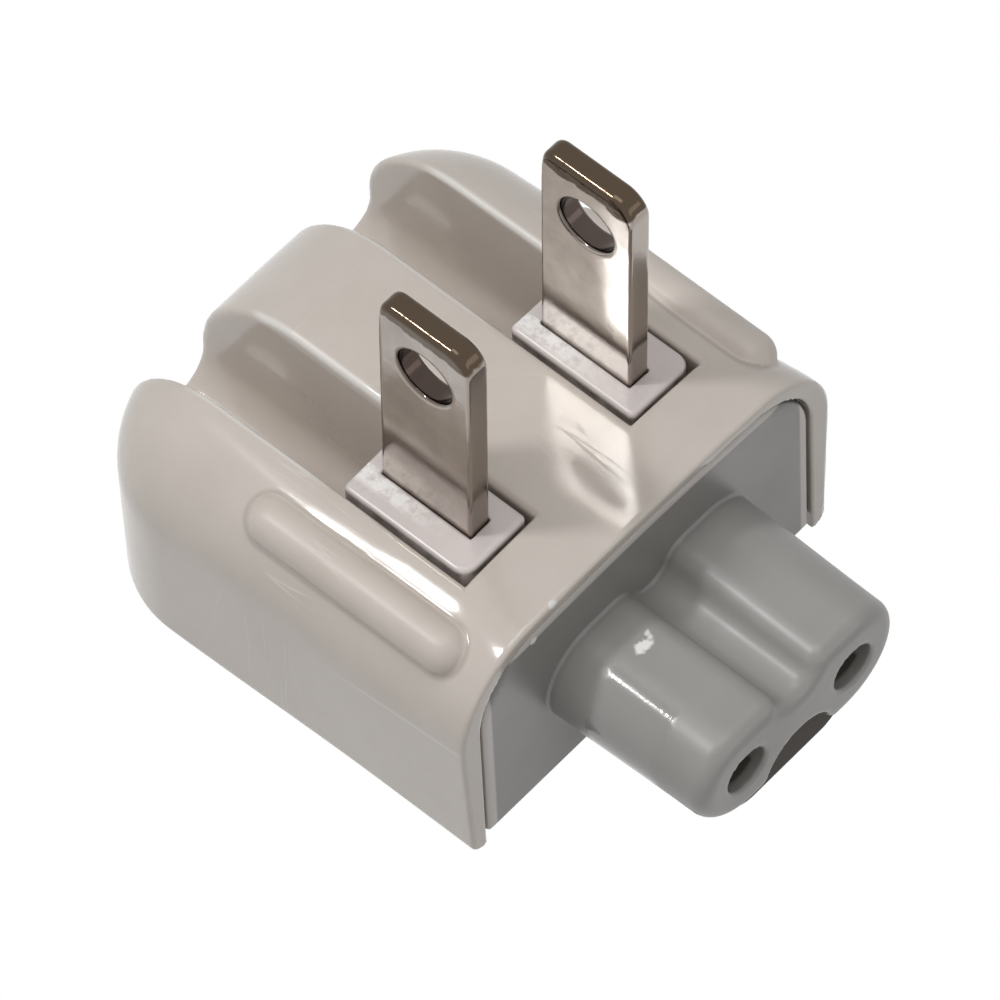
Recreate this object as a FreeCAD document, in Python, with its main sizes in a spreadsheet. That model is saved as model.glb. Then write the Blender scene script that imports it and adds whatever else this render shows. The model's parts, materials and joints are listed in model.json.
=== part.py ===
import FreeCAD, Part
import math
import os

# A folding plug head for a laptop power supply. Two flat blades stand on a pivoting carrier,
# fold into storage grooves in the white casing, and are wired to a grey two-hole connector.
#
# Frame, in millimetres: X runs from blade to blade, Z is the direction the blades point,
# and the connector points along -Y. The origin is on the outlet face, midway between the
# blades, at the crest of the slightly crowned top.

os.makedirs("parts", exist_ok=True)
doc = FreeCAD.newDocument("plug_head")
sheet = doc.addObject("Spreadsheet::Sheet", "Sizes")

SIZES = [
    # casing
    ("casing_width", 29.6), ("casing_front", 9.3), ("casing_back", 20.0), ("stack_gap", 0.03),
    ("crown_radius", 130.0), ("shoulder_rounding", 5.8), ("corner_rounding", 7.2),
    ("tongue_rounding", 7.4), ("sole_chamfer", 0.6), ("rim_chamfer", 0.25), ("wall", 1.45),
    ("chamber_chamfer", 4.2),
    # grip ridges on the rounded shoulders
    ("ridge_length", 14.6), ("ridge_radius", 1.9), ("ridge_sink", 1.25), ("ridge_angle", 39.0),
    ("ridge_lift", 0.12),
    # blades
    ("blade_pitch", 12.7), ("blade_width", 6.35), ("blade_thickness", 1.5), ("blade_reach", 16.5),
    ("blade_root", 5.6), ("tip_front_rounding", 2.3), ("tip_back_rounding", 0.8), ("tip_chamfer", 0.3),
    ("blade_hole", 3.8), ("blade_hole_height", 12.3), ("hole_chamfer", 0.2),
    # pivoting carrier
    ("pivot_setback", 1.2), ("pivot_drop", 3.3), ("carrier_inner", 4.2), ("carrier_outer", 8.8),
    ("carrier_tail", 5.45), ("shaft_diameter", 3.4), ("shaft_flat", 1.45), ("flat_length", 2.8),
    ("wiper_relief", 0.9), ("carrier_rounding", 0.3),
    # storage grooves and the pits that the carrier swings in
    ("inner_gap", 0.35), ("outer_gap", 0.55), ("front_gap", 0.3), ("swing_gap", 0.6),
    ("groove_rounding", 2.0), ("groove_wall", 1.0), ("pit_margin", 0.35),
    # grey connector and flange
    ("socket_pitch", 8.6), ("connector_width", 16.0), ("connector_top", 5.5), ("connector_low", 12.95),
    ("connector_drop", 9.2), ("connector_reach", 10.8), ("upper_rounding", 2.1), ("lower_rounding", 4.2),
    ("valley_floor", 1.8), ("valley_mouth", 3.8), ("valley_depth", 1.5),
    ("nose_chamfer", 0.7), ("mouth_diameter", 3.0), ("mouth_depth", 2.0),
    ("arch_radius", 1.9), ("arch_top", 10.2), ("arch_depth", 0.8), ("keel_low", 14.4), ("keel_radius", 3.5),
    ("flange_gap", 0.85), ("flange_setback", 0.05), ("flange_thickness", 1.6),
    ("rim_top", 0.75), ("flange_top", 1.95),
    # sole plate with the channel for the stud of the power supply
    ("sole_recess", 0.85), ("sole_thickness", 1.2), ("sole_gap", 0.2), ("stud_neck", 4.4), ("stud_head", 6.6),
    ("head_room", 1.3), ("stud_travel", 14.0), ("channel_wall", 0.75),
    # cradle that closes the pits and carries the shaft
    ("cradle_thickness", 1.2), ("running_gap", 0.05), ("fit_gap", 0.15), ("finger_gap", 0.1),
    ("screw_diameter", 1.6), ("screw_head", 2.8), ("screw_head_height", 0.7), ("screw_length", 7.0),
    ("boss_front_y", 5.4), ("boss_rear_y", 9.5), ("boss_front_radius", 1.55), ("boss_rear_radius", 2.2),
    # spring that holds the carrier at both ends of its swing
    ("detent_thickness", 0.25), ("detent_width", 3.0), ("detent_post", 0.8), ("detent_pad", 1.8),
    ("detent_rivet", 0.7), ("detent_grip", 2.0),
    # current path
    ("sleeve_outer", 3.4), ("sleeve_bore", 2.5), ("sleeve_slit", 0.4), ("tail_width", 0.9),
    ("strip_thickness", 0.4), ("strip_width", 2.5), ("strip_neck", 2.2), ("strip_overhang", 1.4),
    ("wiper_thickness", 0.3), ("wiper_width", 1.2), ("wiper_top", 0.6), ("rivet_diameter", 1.0),
    ("rivet_head", 1.7), ("rivet_head_height", 0.3),
    # clip that grips the stud, and the card that covers the channel
    ("clip_wire", 0.5), ("clip_height", 0.8), ("clip_grip", 0.25), ("card_thickness", 0.3),
]
for row, (alias, number) in enumerate(SIZES, 1):
    sheet.set("A%d" % row, alias.replace("_", " "))
    sheet.set("B%d" % row, str(number))
    sheet.setAlias("B%d" % row, alias)
doc.recompute()


class Size:
    """A number together with the sheet expression that gives it."""

    def __init__(self, number, text):
        self.number = float(number)
        self.text = text

    def __float__(self):
        return self.number

    def __add__(self, other):
        other = sized(other)
        return Size(self.number + other.number, "(%s + %s)" % (self.text, other.text))

    def __radd__(self, other):
        return sized(other) + self

    def __sub__(self, other):
        other = sized(other)
        return Size(self.number - other.number, "(%s - %s)" % (self.text, other.text))

    def __rsub__(self, other):
        return sized(other) - self

    def __mul__(self, other):
        other = sized(other)
        return Size(self.number * other.number, "(%s * %s)" % (self.text, other.text))

    def __rmul__(self, other):
        return sized(other) * self

    def __truediv__(self, other):
        other = sized(other)
        return Size(self.number / other.number, "(%s / %s)" % (self.text, other.text))

    def __neg__(self):
        return Size(-self.number, "(0 - %s)" % self.text)


def sized(value):
    if isinstance(value, Size):
        return value
    return Size(value, repr(float(value)))


def named(alias):
    return Size(sheet.get(alias), "Sizes." + alias)


S = {alias: named(alias) for alias, number in SIZES}
V = FreeCAD.Vector

# Lines that several pieces share.
half_width = S["casing_width"] / 2
front_y = -S["casing_front"]
back_y = S["casing_back"]
blade_x = S["blade_pitch"] / 2
pivot_y = -S["pivot_setback"]
pivot_z = -S["pivot_drop"]
groove_in = S["carrier_inner"] - S["inner_gap"]
groove_out = S["carrier_outer"] + S["outer_gap"]
carrier_front = pivot_y - S["pivot_drop"]
carrier_back = pivot_y + S["carrier_tail"]
carrier_low = pivot_z - S["pivot_drop"]
pit_front = carrier_front - S["front_gap"]
swing_radius = math.hypot(float(S["carrier_tail"]), float(S["pivot_drop"]))
groove_floor = pivot_z - swing_radius - S["swing_gap"]
pit_back = pivot_y + swing_radius + S["pit_margin"]
trough_in = groove_in - S["groove_wall"]
trough_out = groove_out + S["groove_wall"]
trough_front = pit_front - S["groove_wall"]
trough_low = groove_floor - S["groove_wall"]
shaft_radius = S["shaft_diameter"] / 2
bearing_radius = shaft_radius + S["running_gap"]
flange_face = front_y + S["flange_setback"]
flange_back = flange_face + S["flange_thickness"]
cradle_low = trough_low - S["cradle_thickness"]
channel_top = cradle_low - S["strip_thickness"] - S["stack_gap"]
channel_roof = channel_top - S["channel_wall"]
sole_top = channel_roof - S["head_room"]
plate_z = sole_top - S["sole_thickness"]
sole_z = plate_z - S["sole_recess"]
channel_end = flange_face + S["stud_travel"]
socket_x = S["socket_pitch"] / 2
socket_z = -S["connector_drop"]
nose_y = front_y - S["connector_reach"]
strip_front = flange_back + S["running_gap"] * 6


# Building helpers.

def place(item, x, y, z):
    for axis, value in (("x", x), ("y", y), ("z", z)):
        item.setExpression("Placement.Base." + axis, sized(value).text)


def box(name, x0, x1, y0, y1, z0, z1):
    """A box between two corners, each given by sheet expressions."""
    item = doc.addObject("Part::Box", name)
    x0, x1, y0, y1, z0, z1 = (sized(value) for value in (x0, x1, y0, y1, z0, z1))
    item.setExpression("Length", (x1 - x0).text)
    item.setExpression("Width", (y1 - y0).text)
    item.setExpression("Height", (z1 - z0).text)
    place(item, x0, y0, z0)
    return item


TURN = {
    "X": FreeCAD.Rotation(V(0, 1, 0), 90),
    "Y": FreeCAD.Rotation(V(1, 0, 0), -90),
    "Z": FreeCAD.Rotation(),
}


def rod(name, axis, radius, x, y, z, length):
    """A cylinder that starts at a point and runs along +X, +Y or +Z."""
    item = doc.addObject("Part::Cylinder", name)
    item.Placement = FreeCAD.Placement(V(0, 0, 0), TURN[axis])
    item.setExpression("Radius", sized(radius).text)
    item.setExpression("Height", sized(length).text)
    place(item, x, y, z)
    return item


def fuse(name, pieces):
    item = doc.addObject("Part::MultiFuse", name)
    item.Shapes = pieces
    item.Refine = True
    return item


def cut(name, base, tool):
    item = doc.addObject("Part::Cut", name)
    item.Base = base
    item.Tool = tool
    item.Refine = True
    return item


def common(name, first, second):
    item = doc.addObject("Part::MultiCommon", name)
    item.Shapes = [first, second]
    item.Refine = True
    return item


def edges_where(shape, test):
    return [index for index, edge in enumerate(shape.Edges, 1) if test(edge.BoundBox, edge)]


def rounded(name, base, radius, test):
    """A fillet of one radius on the edges that pass a test."""
    doc.recompute()
    chosen = edges_where(base.Shape, test)
    if not chosen:
        raise RuntimeError("no edge to round on " + base.Label)
    item = doc.addObject("Part::Fillet", name)
    item.Base = base
    item.Edges = [(index, float(radius), float(radius)) for index in chosen]
    return item


def near(a, b, tolerance=0.01):
    return abs(float(a) - float(b)) < tolerance


def bevelled(name, base, size, test):
    """A chamfer of one size on the edges that pass a test."""
    doc.recompute()
    chosen = edges_where(base.Shape, test)
    if not chosen:
        raise RuntimeError("no edge to bevel on " + base.Label)
    item = doc.addObject("Part::Chamfer", name)
    item.Base = base
    item.Edges = [(index, float(size), float(size)) for index in chosen]
    return item


nodes = {}


def node(item, label):
    item.Label = label
    nodes[label] = item
    return item


def body_for(label):
    body = doc.addObject("PartDesign::Body", "Body_" + label)
    return node(body, label)


def sketch_on(body, name, role, offset=None):
    sketch = body.newObject("Sketcher::SketchObject", name)
    plane = [item for item in body.Origin.OriginFeatures if item.Role == role][0]
    sketch.AttachmentSupport = [(plane, "")]
    sketch.MapMode = "FlatFace"
    if offset is not None:
        sketch.setExpression("AttachmentOffset.Base.z", sized(offset).text)
    return sketch


def bind(sketch, index, value):
    sketch.setExpression("Constraints[%d]" % index, sized(value).text)


def outline(sketch, corners):
    """A closed polygon whose corners are bound to sheet expressions."""
    import Sketcher
    corners = [(sized(across), sized(up)) for across, up in corners]
    points = [V(float(across), float(up), 0) for across, up in corners]
    first = sketch.GeometryCount
    for start, end in zip(points, points[1:] + points[:1]):
        sketch.addGeometry(Part.LineSegment(start, end), False)
    count = len(points)
    for step in range(count):
        follower = (step + 1) % count
        sketch.addConstraint(Sketcher.Constraint("Coincident", first + step, 2, first + follower, 1))
    for step, (across, up) in enumerate(corners):
        for kind, value in (("DistanceX", across), ("DistanceY", up)):
            rule = Sketcher.Constraint(kind, -1, 1, first + step, 1, float(value))
            bind(sketch, sketch.addConstraint(rule), value)


def ring(sketch, across, up, radius):
    """A circle bound to sheet expressions."""
    import Sketcher
    across, up, radius = sized(across), sized(up), sized(radius)
    circle = Part.Circle(V(float(across), float(up), 0), V(0, 0, 1), float(radius))
    index = sketch.addGeometry(circle, False)
    for kind, value in (("DistanceX", across), ("DistanceY", up)):
        rule = Sketcher.Constraint(kind, -1, 1, index, 3, float(value))
        bind(sketch, sketch.addConstraint(rule), value)
    rule = Sketcher.Constraint("Radius", index, float(radius))
    bind(sketch, sketch.addConstraint(rule), radius)


def pad(body, name, sketch, length, midplane=False, reverse=False):
    feature = body.newObject("PartDesign::Pad", name)
    feature.Profile = sketch
    feature.setExpression("Length", sized(length).text)
    feature.Midplane = midplane
    feature.Reversed = reverse
    return feature


def pocket(body, name, sketch, length, midplane=False, reverse=False):
    """A cut that must remove material, or the build stops."""
    doc.recompute()
    before = body.Shape.Volume
    feature = body.newObject("PartDesign::Pocket", name)
    feature.Profile = sketch
    feature.setExpression("Length", sized(length).text)
    feature.Midplane = midplane
    feature.Reversed = reverse
    doc.recompute()
    if not body.Shape.Volume < before - 1e-6:
        raise RuntimeError(name + " removes nothing")
    return feature


def dress(body, kind, name, size, test):
    """A fillet or chamfer on the edges of a body that pass a test."""
    doc.recompute()
    base = body.Tip
    names = ["Edge%d" % index for index in edges_where(base.Shape, test)]
    if not names:
        raise RuntimeError(name + " finds no edge")
    feature = body.newObject("PartDesign::" + kind, name)
    feature.Base = (base, names)
    feature.setExpression("Radius" if kind == "Fillet" else "Size", sized(size).text)
    doc.recompute()
    return feature


def plain_feature(label, shape):
    item = doc.addObject("Part::Feature", "Solid_" + label)
    item.Shape = shape
    item.Placement = FreeCAD.Placement()
    return item


# The casing: a crowned block with one rounding that runs along both shoulders and the far end.

def casing_form(label, half, front, back, low, inset):
    """The crowned block with its shoulder and far-end roundings, as an object of the document."""
    radius = float(S["crown_radius"]) - inset
    sag = radius - math.sqrt(radius * radius - half * half)
    top = -inset
    profile = Part.Wire([
        Part.Arc(V(-half, front, top - sag), V(0, front, top), V(half, front, top - sag)).toShape(),
        Part.LineSegment(V(half, front, top - sag), V(half, front, low)).toShape(),
        Part.LineSegment(V(half, front, low), V(-half, front, low)).toShape(),
        Part.LineSegment(V(-half, front, low), V(-half, front, top - sag)).toShape(),
    ])
    block = Part.Face(profile).extrude(V(0, back - front, 0))
    upright = [edge for edge in block.Edges
               if near(edge.BoundBox.YMin, back) and edge.BoundBox.XLength < 0.01]
    block = block.makeFillet(float(S["corner_rounding"]) - inset, upright)
    return rounded(
        label, plain_feature(label + "_block", block), float(S["shoulder_rounding"]) - inset,
        lambda bounds, edge: bounds.ZMin > top - sag - 0.5
        and not near(bounds.YMax, front))


def flange_plate(label, inset, top_inset, front, back, low):
    """The casing's front outline moved inward, by one distance at the sides and one at the top."""
    half = float(half_width) - inset
    radius = float(S["crown_radius"]) - top_inset
    crest = -top_inset
    shoulder = crest - radius + math.sqrt(radius * radius - half * half)
    wire = Part.Wire([
        Part.Arc(V(-half, front, shoulder), V(0, front, crest), V(half, front, shoulder)).toShape(),
        Part.LineSegment(V(half, front, shoulder), V(half, front, low)).toShape(),
        Part.LineSegment(V(half, front, low), V(-half, front, low)).toShape(),
        Part.LineSegment(V(-half, front, low), V(-half, front, shoulder)).toShape(),
    ])
    plate = Part.Face(wire).extrude(V(0, back - front, 0))
    radius = max(float(S["shoulder_rounding"]) - inset, 0.3)
    upper = [edge for edge in plate.Edges if edge.BoundBox.XLength < 0.01 and edge.BoundBox.ZLength < 0.01
             and near(edge.BoundBox.ZMin, shoulder)]
    return plain_feature(label, plate.makeFillet(radius, upper))


wall = float(S["wall"])
outer = casing_form(
    "casing_outer", float(half_width), float(front_y), float(back_y), float(sole_z), 0.0)
softened = bevelled(
    "casing_footed", outer, S["sole_chamfer"],
    lambda bounds, edge: near(bounds.ZMax, sole_z) and not near(bounds.YMax, front_y))
softened = bevelled(
    "casing_rimmed", softened, S["rim_chamfer"],
    lambda bounds, edge: near(bounds.YMax, front_y) and bounds.ZMax > float(sole_z) + 0.5)

# The inside: a mouth that follows the outline round the flange, and a chamber with flat slopes.
mouth_back = flange_back + S["fit_gap"]
mouth = flange_plate("casing_mouth", wall, float(S["rim_top"]), float(front_y) - 1, float(mouth_back),
                     float(sole_z) - 1)
slope = float(S["chamber_chamfer"])
chamber_half = half_width - S["wall"]
slope_x = float(chamber_half) - slope
crown = float(S["crown_radius"])
chamber_roof = math.sqrt(crown * crown - slope_x * slope_x) - crown - S["wall"]
chamber_back = back_y - S["wall"]
chamber = box("chamber_block", -chamber_half, chamber_half, mouth_back - 0.1, chamber_back, sole_z - 1,
              chamber_roof)
chamber = bevelled(
    "chamber_sloped", chamber, slope,
    lambda bounds, edge: near(bounds.ZMin, chamber_roof) and bounds.YMax > float(mouth_back) + 1
    or near(bounds.YMin, chamber_back) and bounds.ZLength > 1)
inner = fuse("casing_inner", [mouth, chamber])
doc.recompute()

# Troughs hang under the top: their walls make the storage grooves and the swing pits.
troughs = []
grooves = []
for side, word in ((-1, "left"), (1, "right")):
    near_x, far_x = (trough_in, trough_out) if side > 0 else (-trough_out, -trough_in)
    troughs.append(box("trough_" + word, near_x, far_x, trough_front, back_y, trough_low, -0.2))
    near_x, far_x = (groove_in, groove_out) if side > 0 else (-groove_out, -groove_in)
    channel = box("groove_" + word, near_x, far_x, pit_front, back_y + 1, groove_floor, 1)
    channel = rounded(
        "groove_soft_" + word, channel, S["groove_rounding"],
        lambda bounds, edge: near(bounds.ZMax, groove_floor) and bounds.YLength > 1)
    grooves.append(channel)
    grooves.append(box("pit_" + word, near_x, far_x, pit_front, pit_back, trough_low - 1, 0.5))
    slot_x = groove_in - S["groove_wall"] - 0.5 if side > 0 else -groove_in - 0.5
    slot_length = S["groove_wall"] + 1.0
    grooves.append(box("bearing_way_" + word, slot_x, slot_x + slot_length,
                       pivot_y - bearing_radius, pivot_y + bearing_radius, trough_low - 1, pivot_z))

# One way for the shaft runs through the inner walls of both troughs and under the top.
shaft_way = groove_in + S["groove_wall"] / 2
grooves.append(rod("bearing_way", "X", bearing_radius, -shaft_way, pivot_y, pivot_z, shaft_way * 2))

# The tongue between the grooves has a larger rounding at the far end than the shoulders have.
tongue_half = blade_x
end_y = back_y - S["tongue_rounding"]
end_block = box("tongue_corner", -tongue_half, tongue_half, end_y, back_y + 1, -S["tongue_rounding"], 1)
end_round = rod("tongue_round", "X", S["tongue_rounding"], -tongue_half - 1, end_y, -S["tongue_rounding"],
                tongue_half * 2 + 2)
grooves.append(cut("tongue_waste", end_block, end_round))

boss_top = -S["wall"] + 0.3
boss_front = rod("boss_front", "Z", S["boss_front_radius"], 0, -S["boss_front_y"], trough_low,
                 boss_top - trough_low)
boss_rear = rod("boss_rear", "Z", S["boss_rear_radius"], 0, S["boss_rear_y"], trough_low,
                boss_top - trough_low)
pilot = S["screw_diameter"] / 2 + S["running_gap"]
pilots = [rod("pilot_front", "Z", pilot, 0, -S["boss_front_y"], trough_low - 1, S["screw_length"] + 1.5),
          rod("pilot_rear", "Z", pilot, 0, S["boss_rear_y"], trough_low - 1, S["screw_length"] + 1.5)]

# Rounded grip ridges on both shoulders, halfway between the top and the sides.
angle = math.radians(float(S["ridge_angle"]))
ridge_reach = float(S["shoulder_rounding"]) - float(S["ridge_sink"])
shoulder_x = float(half_width) - float(S["shoulder_rounding"])
half_sag = float(S["crown_radius"]) - math.sqrt(float(S["crown_radius"]) ** 2 - float(half_width) ** 2)
shoulder_z = -half_sag - float(S["shoulder_rounding"]) + float(S["ridge_lift"])
ridges = []
bar = float(S["ridge_length"]) - 2 * math.sqrt(float(S["ridge_radius"]) ** 2 - float(S["ridge_sink"]) ** 2)
for side in (-1, 1):
    centre = V(side * (shoulder_x + ridge_reach * math.sin(angle)), -bar / 2,
               shoulder_z + ridge_reach * math.cos(angle))
    bar_shape = Part.makeCylinder(float(S["ridge_radius"]), bar, centre, V(0, 1, 0))
    ends = [Part.makeSphere(float(S["ridge_radius"]), centre + V(0, shift, 0)) for shift in (0, bar)]
    ridges.append(plain_feature("ridge_%d" % (side + 1), bar_shape.multiFuse(ends).removeSplitter()))

doc.recompute()
lining = fuse("casing_lining", [softened] + ridges)
hollow = cut("casing_hollow", lining, inner)
inside = fuse("casing_inside", troughs + [boss_front, boss_rear])
kept = common("casing_kept", inside, outer)
shell = fuse("casing_whole", [hollow, kept])
openings = fuse("casing_openings", grooves + pilots)
shell = cut("casing_opened", shell, openings)
node(shell, "outer_shell")
doc.recompute()


# Blades: flat, with a strongly rounded front corner that follows the casing's end when folded.

def blade(side, word):
    body = body_for("blade_" + word)
    sketch = sketch_on(body, "blade_profile_" + word, "YZ_Plane", side * blade_x)
    half = S["blade_width"] / 2
    outline(sketch, [(-half, -S["blade_root"]), (half, -S["blade_root"]),
                     (half, S["blade_reach"]), (-half, S["blade_reach"])])
    pad(body, "blade_pad_" + word, sketch, S["blade_thickness"], midplane=True)
    dress(body, "Fillet", "blade_front_" + word, S["tip_front_rounding"],
          lambda bounds, edge: near(bounds.ZMin, S["blade_reach"]) and near(bounds.YMax, -half)
          and bounds.XLength > 0.5)
    dress(body, "Fillet", "blade_back_" + word, S["tip_back_rounding"],
          lambda bounds, edge: near(bounds.ZMin, S["blade_reach"]) and near(bounds.YMin, half)
          and bounds.XLength > 0.5)
    hole = sketch_on(body, "blade_hole_" + word, "YZ_Plane", side * blade_x)
    ring(hole, 0, S["blade_hole_height"], S["blade_hole"] / 2)
    pocket(body, "blade_bore_" + word, hole, S["blade_thickness"] + 1, midplane=True)
    dress(body, "Chamfer", "blade_tip_" + word, S["tip_chamfer"],
          lambda bounds, edge: bounds.XLength < 0.01 and bounds.ZMax > float(S["blade_reach"]) - 0.01)
    dress(body, "Chamfer", "blade_rim_" + word, S["hole_chamfer"],
          lambda bounds, edge: bounds.XLength < 0.01 and near(bounds.ZLength, S["blade_hole"])
          and near(bounds.YLength, S["blade_hole"]))
    return body


blade(-1, "left")
blade(1, "right")


# Carrier: both pivot blocks and the shaft between them are one moulding.

def carrier_block(side, word):
    near_x, far_x = (S["carrier_inner"], S["carrier_outer"])
    if side < 0:
        near_x, far_x = -far_x, -near_x
    prism = box("block_" + word, near_x, far_x, carrier_front, carrier_back, carrier_low, 0)
    corner = box("block_corner_" + word, near_x, far_x, carrier_front, pivot_y, carrier_low, pivot_z)
    drum = rod("block_drum_" + word, "X", S["pivot_drop"], near_x, pivot_y, pivot_z, far_x - near_x)
    block = fuse("block_round_" + word, [cut("block_cut_" + word, prism, corner), drum])
    return block


blocks = [carrier_block(-1, "left"), carrier_block(1, "right")]
shaft = rod("shaft", "X", shaft_radius, -S["carrier_inner"], pivot_y, pivot_z, S["carrier_inner"] * 2)
half_flat = S["flat_length"] / 2
lower_flat = box("shaft_flat_low", -half_flat, half_flat, pivot_y - shaft_radius, pivot_y + shaft_radius,
                 pivot_z - shaft_radius, pivot_z - S["shaft_flat"])
rear_flat = box("shaft_flat_rear", -half_flat, half_flat, pivot_y + S["shaft_flat"], pivot_y + shaft_radius,
                pivot_z - shaft_radius, pivot_z + shaft_radius)
shaft = cut("shaft_flatted", shaft, fuse("shaft_flats", [lower_flat, rear_flat]))
carrier = fuse("carrier_whole", blocks + [shaft])
crown_trim = rod("carrier_crown", "Y", S["crown_radius"], 0, carrier_front - 1, -S["crown_radius"],
                 carrier_back - carrier_front + 2)
carrier = common("carrier_crowned", carrier, crown_trim)
carrier = rounded(
    "carrier_soft", carrier, S["carrier_rounding"],
    lambda bounds, edge: bounds.ZMin > -0.7 and bounds.YLength < 0.01 and bounds.XLength > 1)
pockets = []
for side, word in ((-1, "left"), (1, "right")):
    centre = side * blade_x
    half = S["blade_thickness"] / 2
    pockets.append(box("root_way_" + word, centre - half, centre + half, -S["blade_width"] / 2,
                       S["blade_width"] / 2, -S["blade_root"], 1))
    edge_in = blade_x + half
    near_x, far_x = (edge_in, S["carrier_outer"] + 1) if side > 0 else (-S["carrier_outer"] - 1, -edge_in)
    pockets.append(box("wiper_way_" + word, near_x, far_x, pivot_y - S["wiper_relief"], carrier_back + 1,
                       carrier_low - 1, pivot_z + S["wiper_relief"]))
carrier = cut("carrier_cleared", carrier, fuse("carrier_ways", pockets))
node(carrier, "blade_carrier")
doc.recompute()


# Grey moulding: flange, two-hole connector, sole plate and the channel for the stud.

base_inset = float(S["wall"]) + float(S["flange_gap"])
flange = flange_plate("flange_body", base_inset, float(S["flange_top"]), float(flange_face),
                      float(flange_back), float(plate_z))

# Sole plate, with the same plan as the chamber of the casing.
sole_half = half_width - S["wall"] - S["sole_gap"]
sole_back = back_y - S["wall"] - S["sole_gap"]
sole = box("sole_block", -sole_half, sole_half, flange_back, sole_back, plate_z, sole_top)
sole = bevelled(
    "sole_plate", sole, S["chamber_chamfer"],
    lambda bounds, edge: near(bounds.YMin, sole_back) and bounds.ZLength > 0.5)
head_half = S["stud_head"] / 2
neck_half = S["stud_neck"] / 2
tunnel_half = head_half + S["channel_wall"]
tunnel = box("channel_block", -tunnel_half, tunnel_half, flange_face, channel_end + S["channel_wall"],
             plate_z, channel_top)

# Connector: two rounded barrels side by side, with a valley between them on top.
top_z = -S["connector_top"]
low_z = -S["connector_low"]
half_connector = S["connector_width"] / 2
half_floor = S["valley_floor"] / 2
half_mouth = S["valley_mouth"] / 2
connector = doc.addObject("PartDesign::Body", "Body_connector")
section = sketch_on(connector, "connector_section", "XZ_Plane")
right_side = [(half_floor, top_z - S["valley_depth"]), (half_mouth, top_z), (half_connector, top_z),
              (half_connector, low_z)]
left_side = [(-across, up) for across, up in reversed(right_side)]
outline(section, right_side + left_side)
pad(connector, "connector_pad", section, flange_back - nose_y)


def along_connector(across, up):
    """Tests for the long edges of the connector at one corner of its section, on both sides."""
    return lambda bounds, edge: (bounds.YLength > 3 and near(abs(bounds.XMin), across, 0.02)
                                 and near(bounds.ZMin, up, 0.02))


section.setExpression("AttachmentOffset.Base.z", (-flange_back).text)
dress(connector, "Fillet", "connector_upper", S["upper_rounding"], along_connector(half_connector, top_z))
dress(connector, "Fillet", "connector_lower", S["lower_rounding"], along_connector(half_connector, low_z))
dress(connector, "Chamfer", "connector_nose", S["nose_chamfer"],
      lambda bounds, edge: near(bounds.YMax, nose_y))

# Under the barrels: an arch in the end face, and a keel behind it.
keel_z = -S["keel_low"] + S["keel_radius"]
keel = rod("keel", "Y", S["keel_radius"], 0, nose_y + S["arch_depth"], keel_z,
           flange_back - nose_y - S["arch_depth"])
arch_z = -S["arch_top"] - S["arch_radius"]
ways = [
    rod("arch", "Y", S["arch_radius"], 0, nose_y - 1, arch_z, S["arch_depth"] + 1),
    box("arch_foot", -S["arch_radius"], S["arch_radius"], nose_y - 1, nose_y + S["arch_depth"],
        -S["keel_low"] - 1, arch_z),
]
for side, word in ((-1, "left"), (1, "right")):
    ways.append(rod("mouth_" + word, "Y", S["mouth_diameter"] / 2, side * socket_x, nose_y - 1, socket_z,
                    S["mouth_depth"] + 1.5))
    ways.append(rod("sleeve_way_" + word, "Y", S["sleeve_outer"] / 2 + S["running_gap"], side * socket_x,
                    nose_y + S["mouth_depth"], socket_z, flange_back - nose_y))
ways.append(box("stud_neck_way", -neck_half, neck_half, flange_face - 1, channel_end, plate_z - 1,
                sole_top + 0.5))
ways.append(box("stud_head_way", -head_half, head_half, flange_face - 1, channel_end, sole_top,
                channel_roof))
grey = fuse("grey_whole", [flange, sole, tunnel, connector, keel])
grey = cut("grey_opened", grey, fuse("grey_ways", ways))
node(grey, "connector_base")
doc.recompute()


# Cradle: closes both pits from below and holds the shaft from under.
plate_back = pit_back + S["groove_wall"] + 0.6
cradle_parts = [
    box("cradle_plate", -trough_out, trough_out, trough_front, plate_back, cradle_low, trough_low),
    box("cradle_tab_front", -S["boss_front_radius"] - 0.6, S["boss_front_radius"] + 0.6,
        -S["boss_front_y"] - S["boss_front_radius"], trough_front, cradle_low, trough_low),
    box("cradle_tab_rear", -S["boss_rear_radius"] - 0.4, S["boss_rear_radius"] + 0.4, plate_back - 0.1,
        S["boss_rear_y"] + S["boss_rear_radius"] + 0.4, cradle_low, trough_low),
]
cradle_cuts = []
leaf_in = blade_x + S["blade_thickness"] / 2 + S["running_gap"]
leaf_out = leaf_in + S["wiper_thickness"]
for side, word in ((-1, "left"), (1, "right")):
    near_x, far_x = (groove_in + S["fit_gap"], groove_out - S["fit_gap"])
    finger_in, finger_out = (trough_in + S["finger_gap"], groove_in - S["finger_gap"])
    window_in, window_out = (leaf_in - S["fit_gap"] * 2, leaf_out + S["fit_gap"] * 2)
    if side < 0:
        near_x, far_x = -far_x, -near_x
        finger_in, finger_out = -finger_out, -finger_in
        window_in, window_out = -window_out, -window_in
    cradle_parts.append(box("pit_floor_" + word, near_x, far_x, pit_front + S["fit_gap"],
                            pit_back - S["fit_gap"], trough_low - 0.1, groove_floor))
    cradle_parts.append(box("finger_" + word, finger_in, finger_out,
                            pivot_y - bearing_radius + S["finger_gap"],
                            pivot_y + bearing_radius - S["finger_gap"], trough_low - 0.1, pivot_z))
    cradle_cuts.append(box("wiper_window_" + word, window_in, window_out,
                           pivot_y - S["wiper_width"] / 2 - S["fit_gap"] * 2,
                           pivot_y + S["wiper_width"] / 2 + S["fit_gap"] * 2, cradle_low - 1,
                           groove_floor + 1))
cradle_cuts.append(rod("cradle_bearing", "X", bearing_radius, -groove_in, pivot_y, pivot_z, groove_in * 2))

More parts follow.
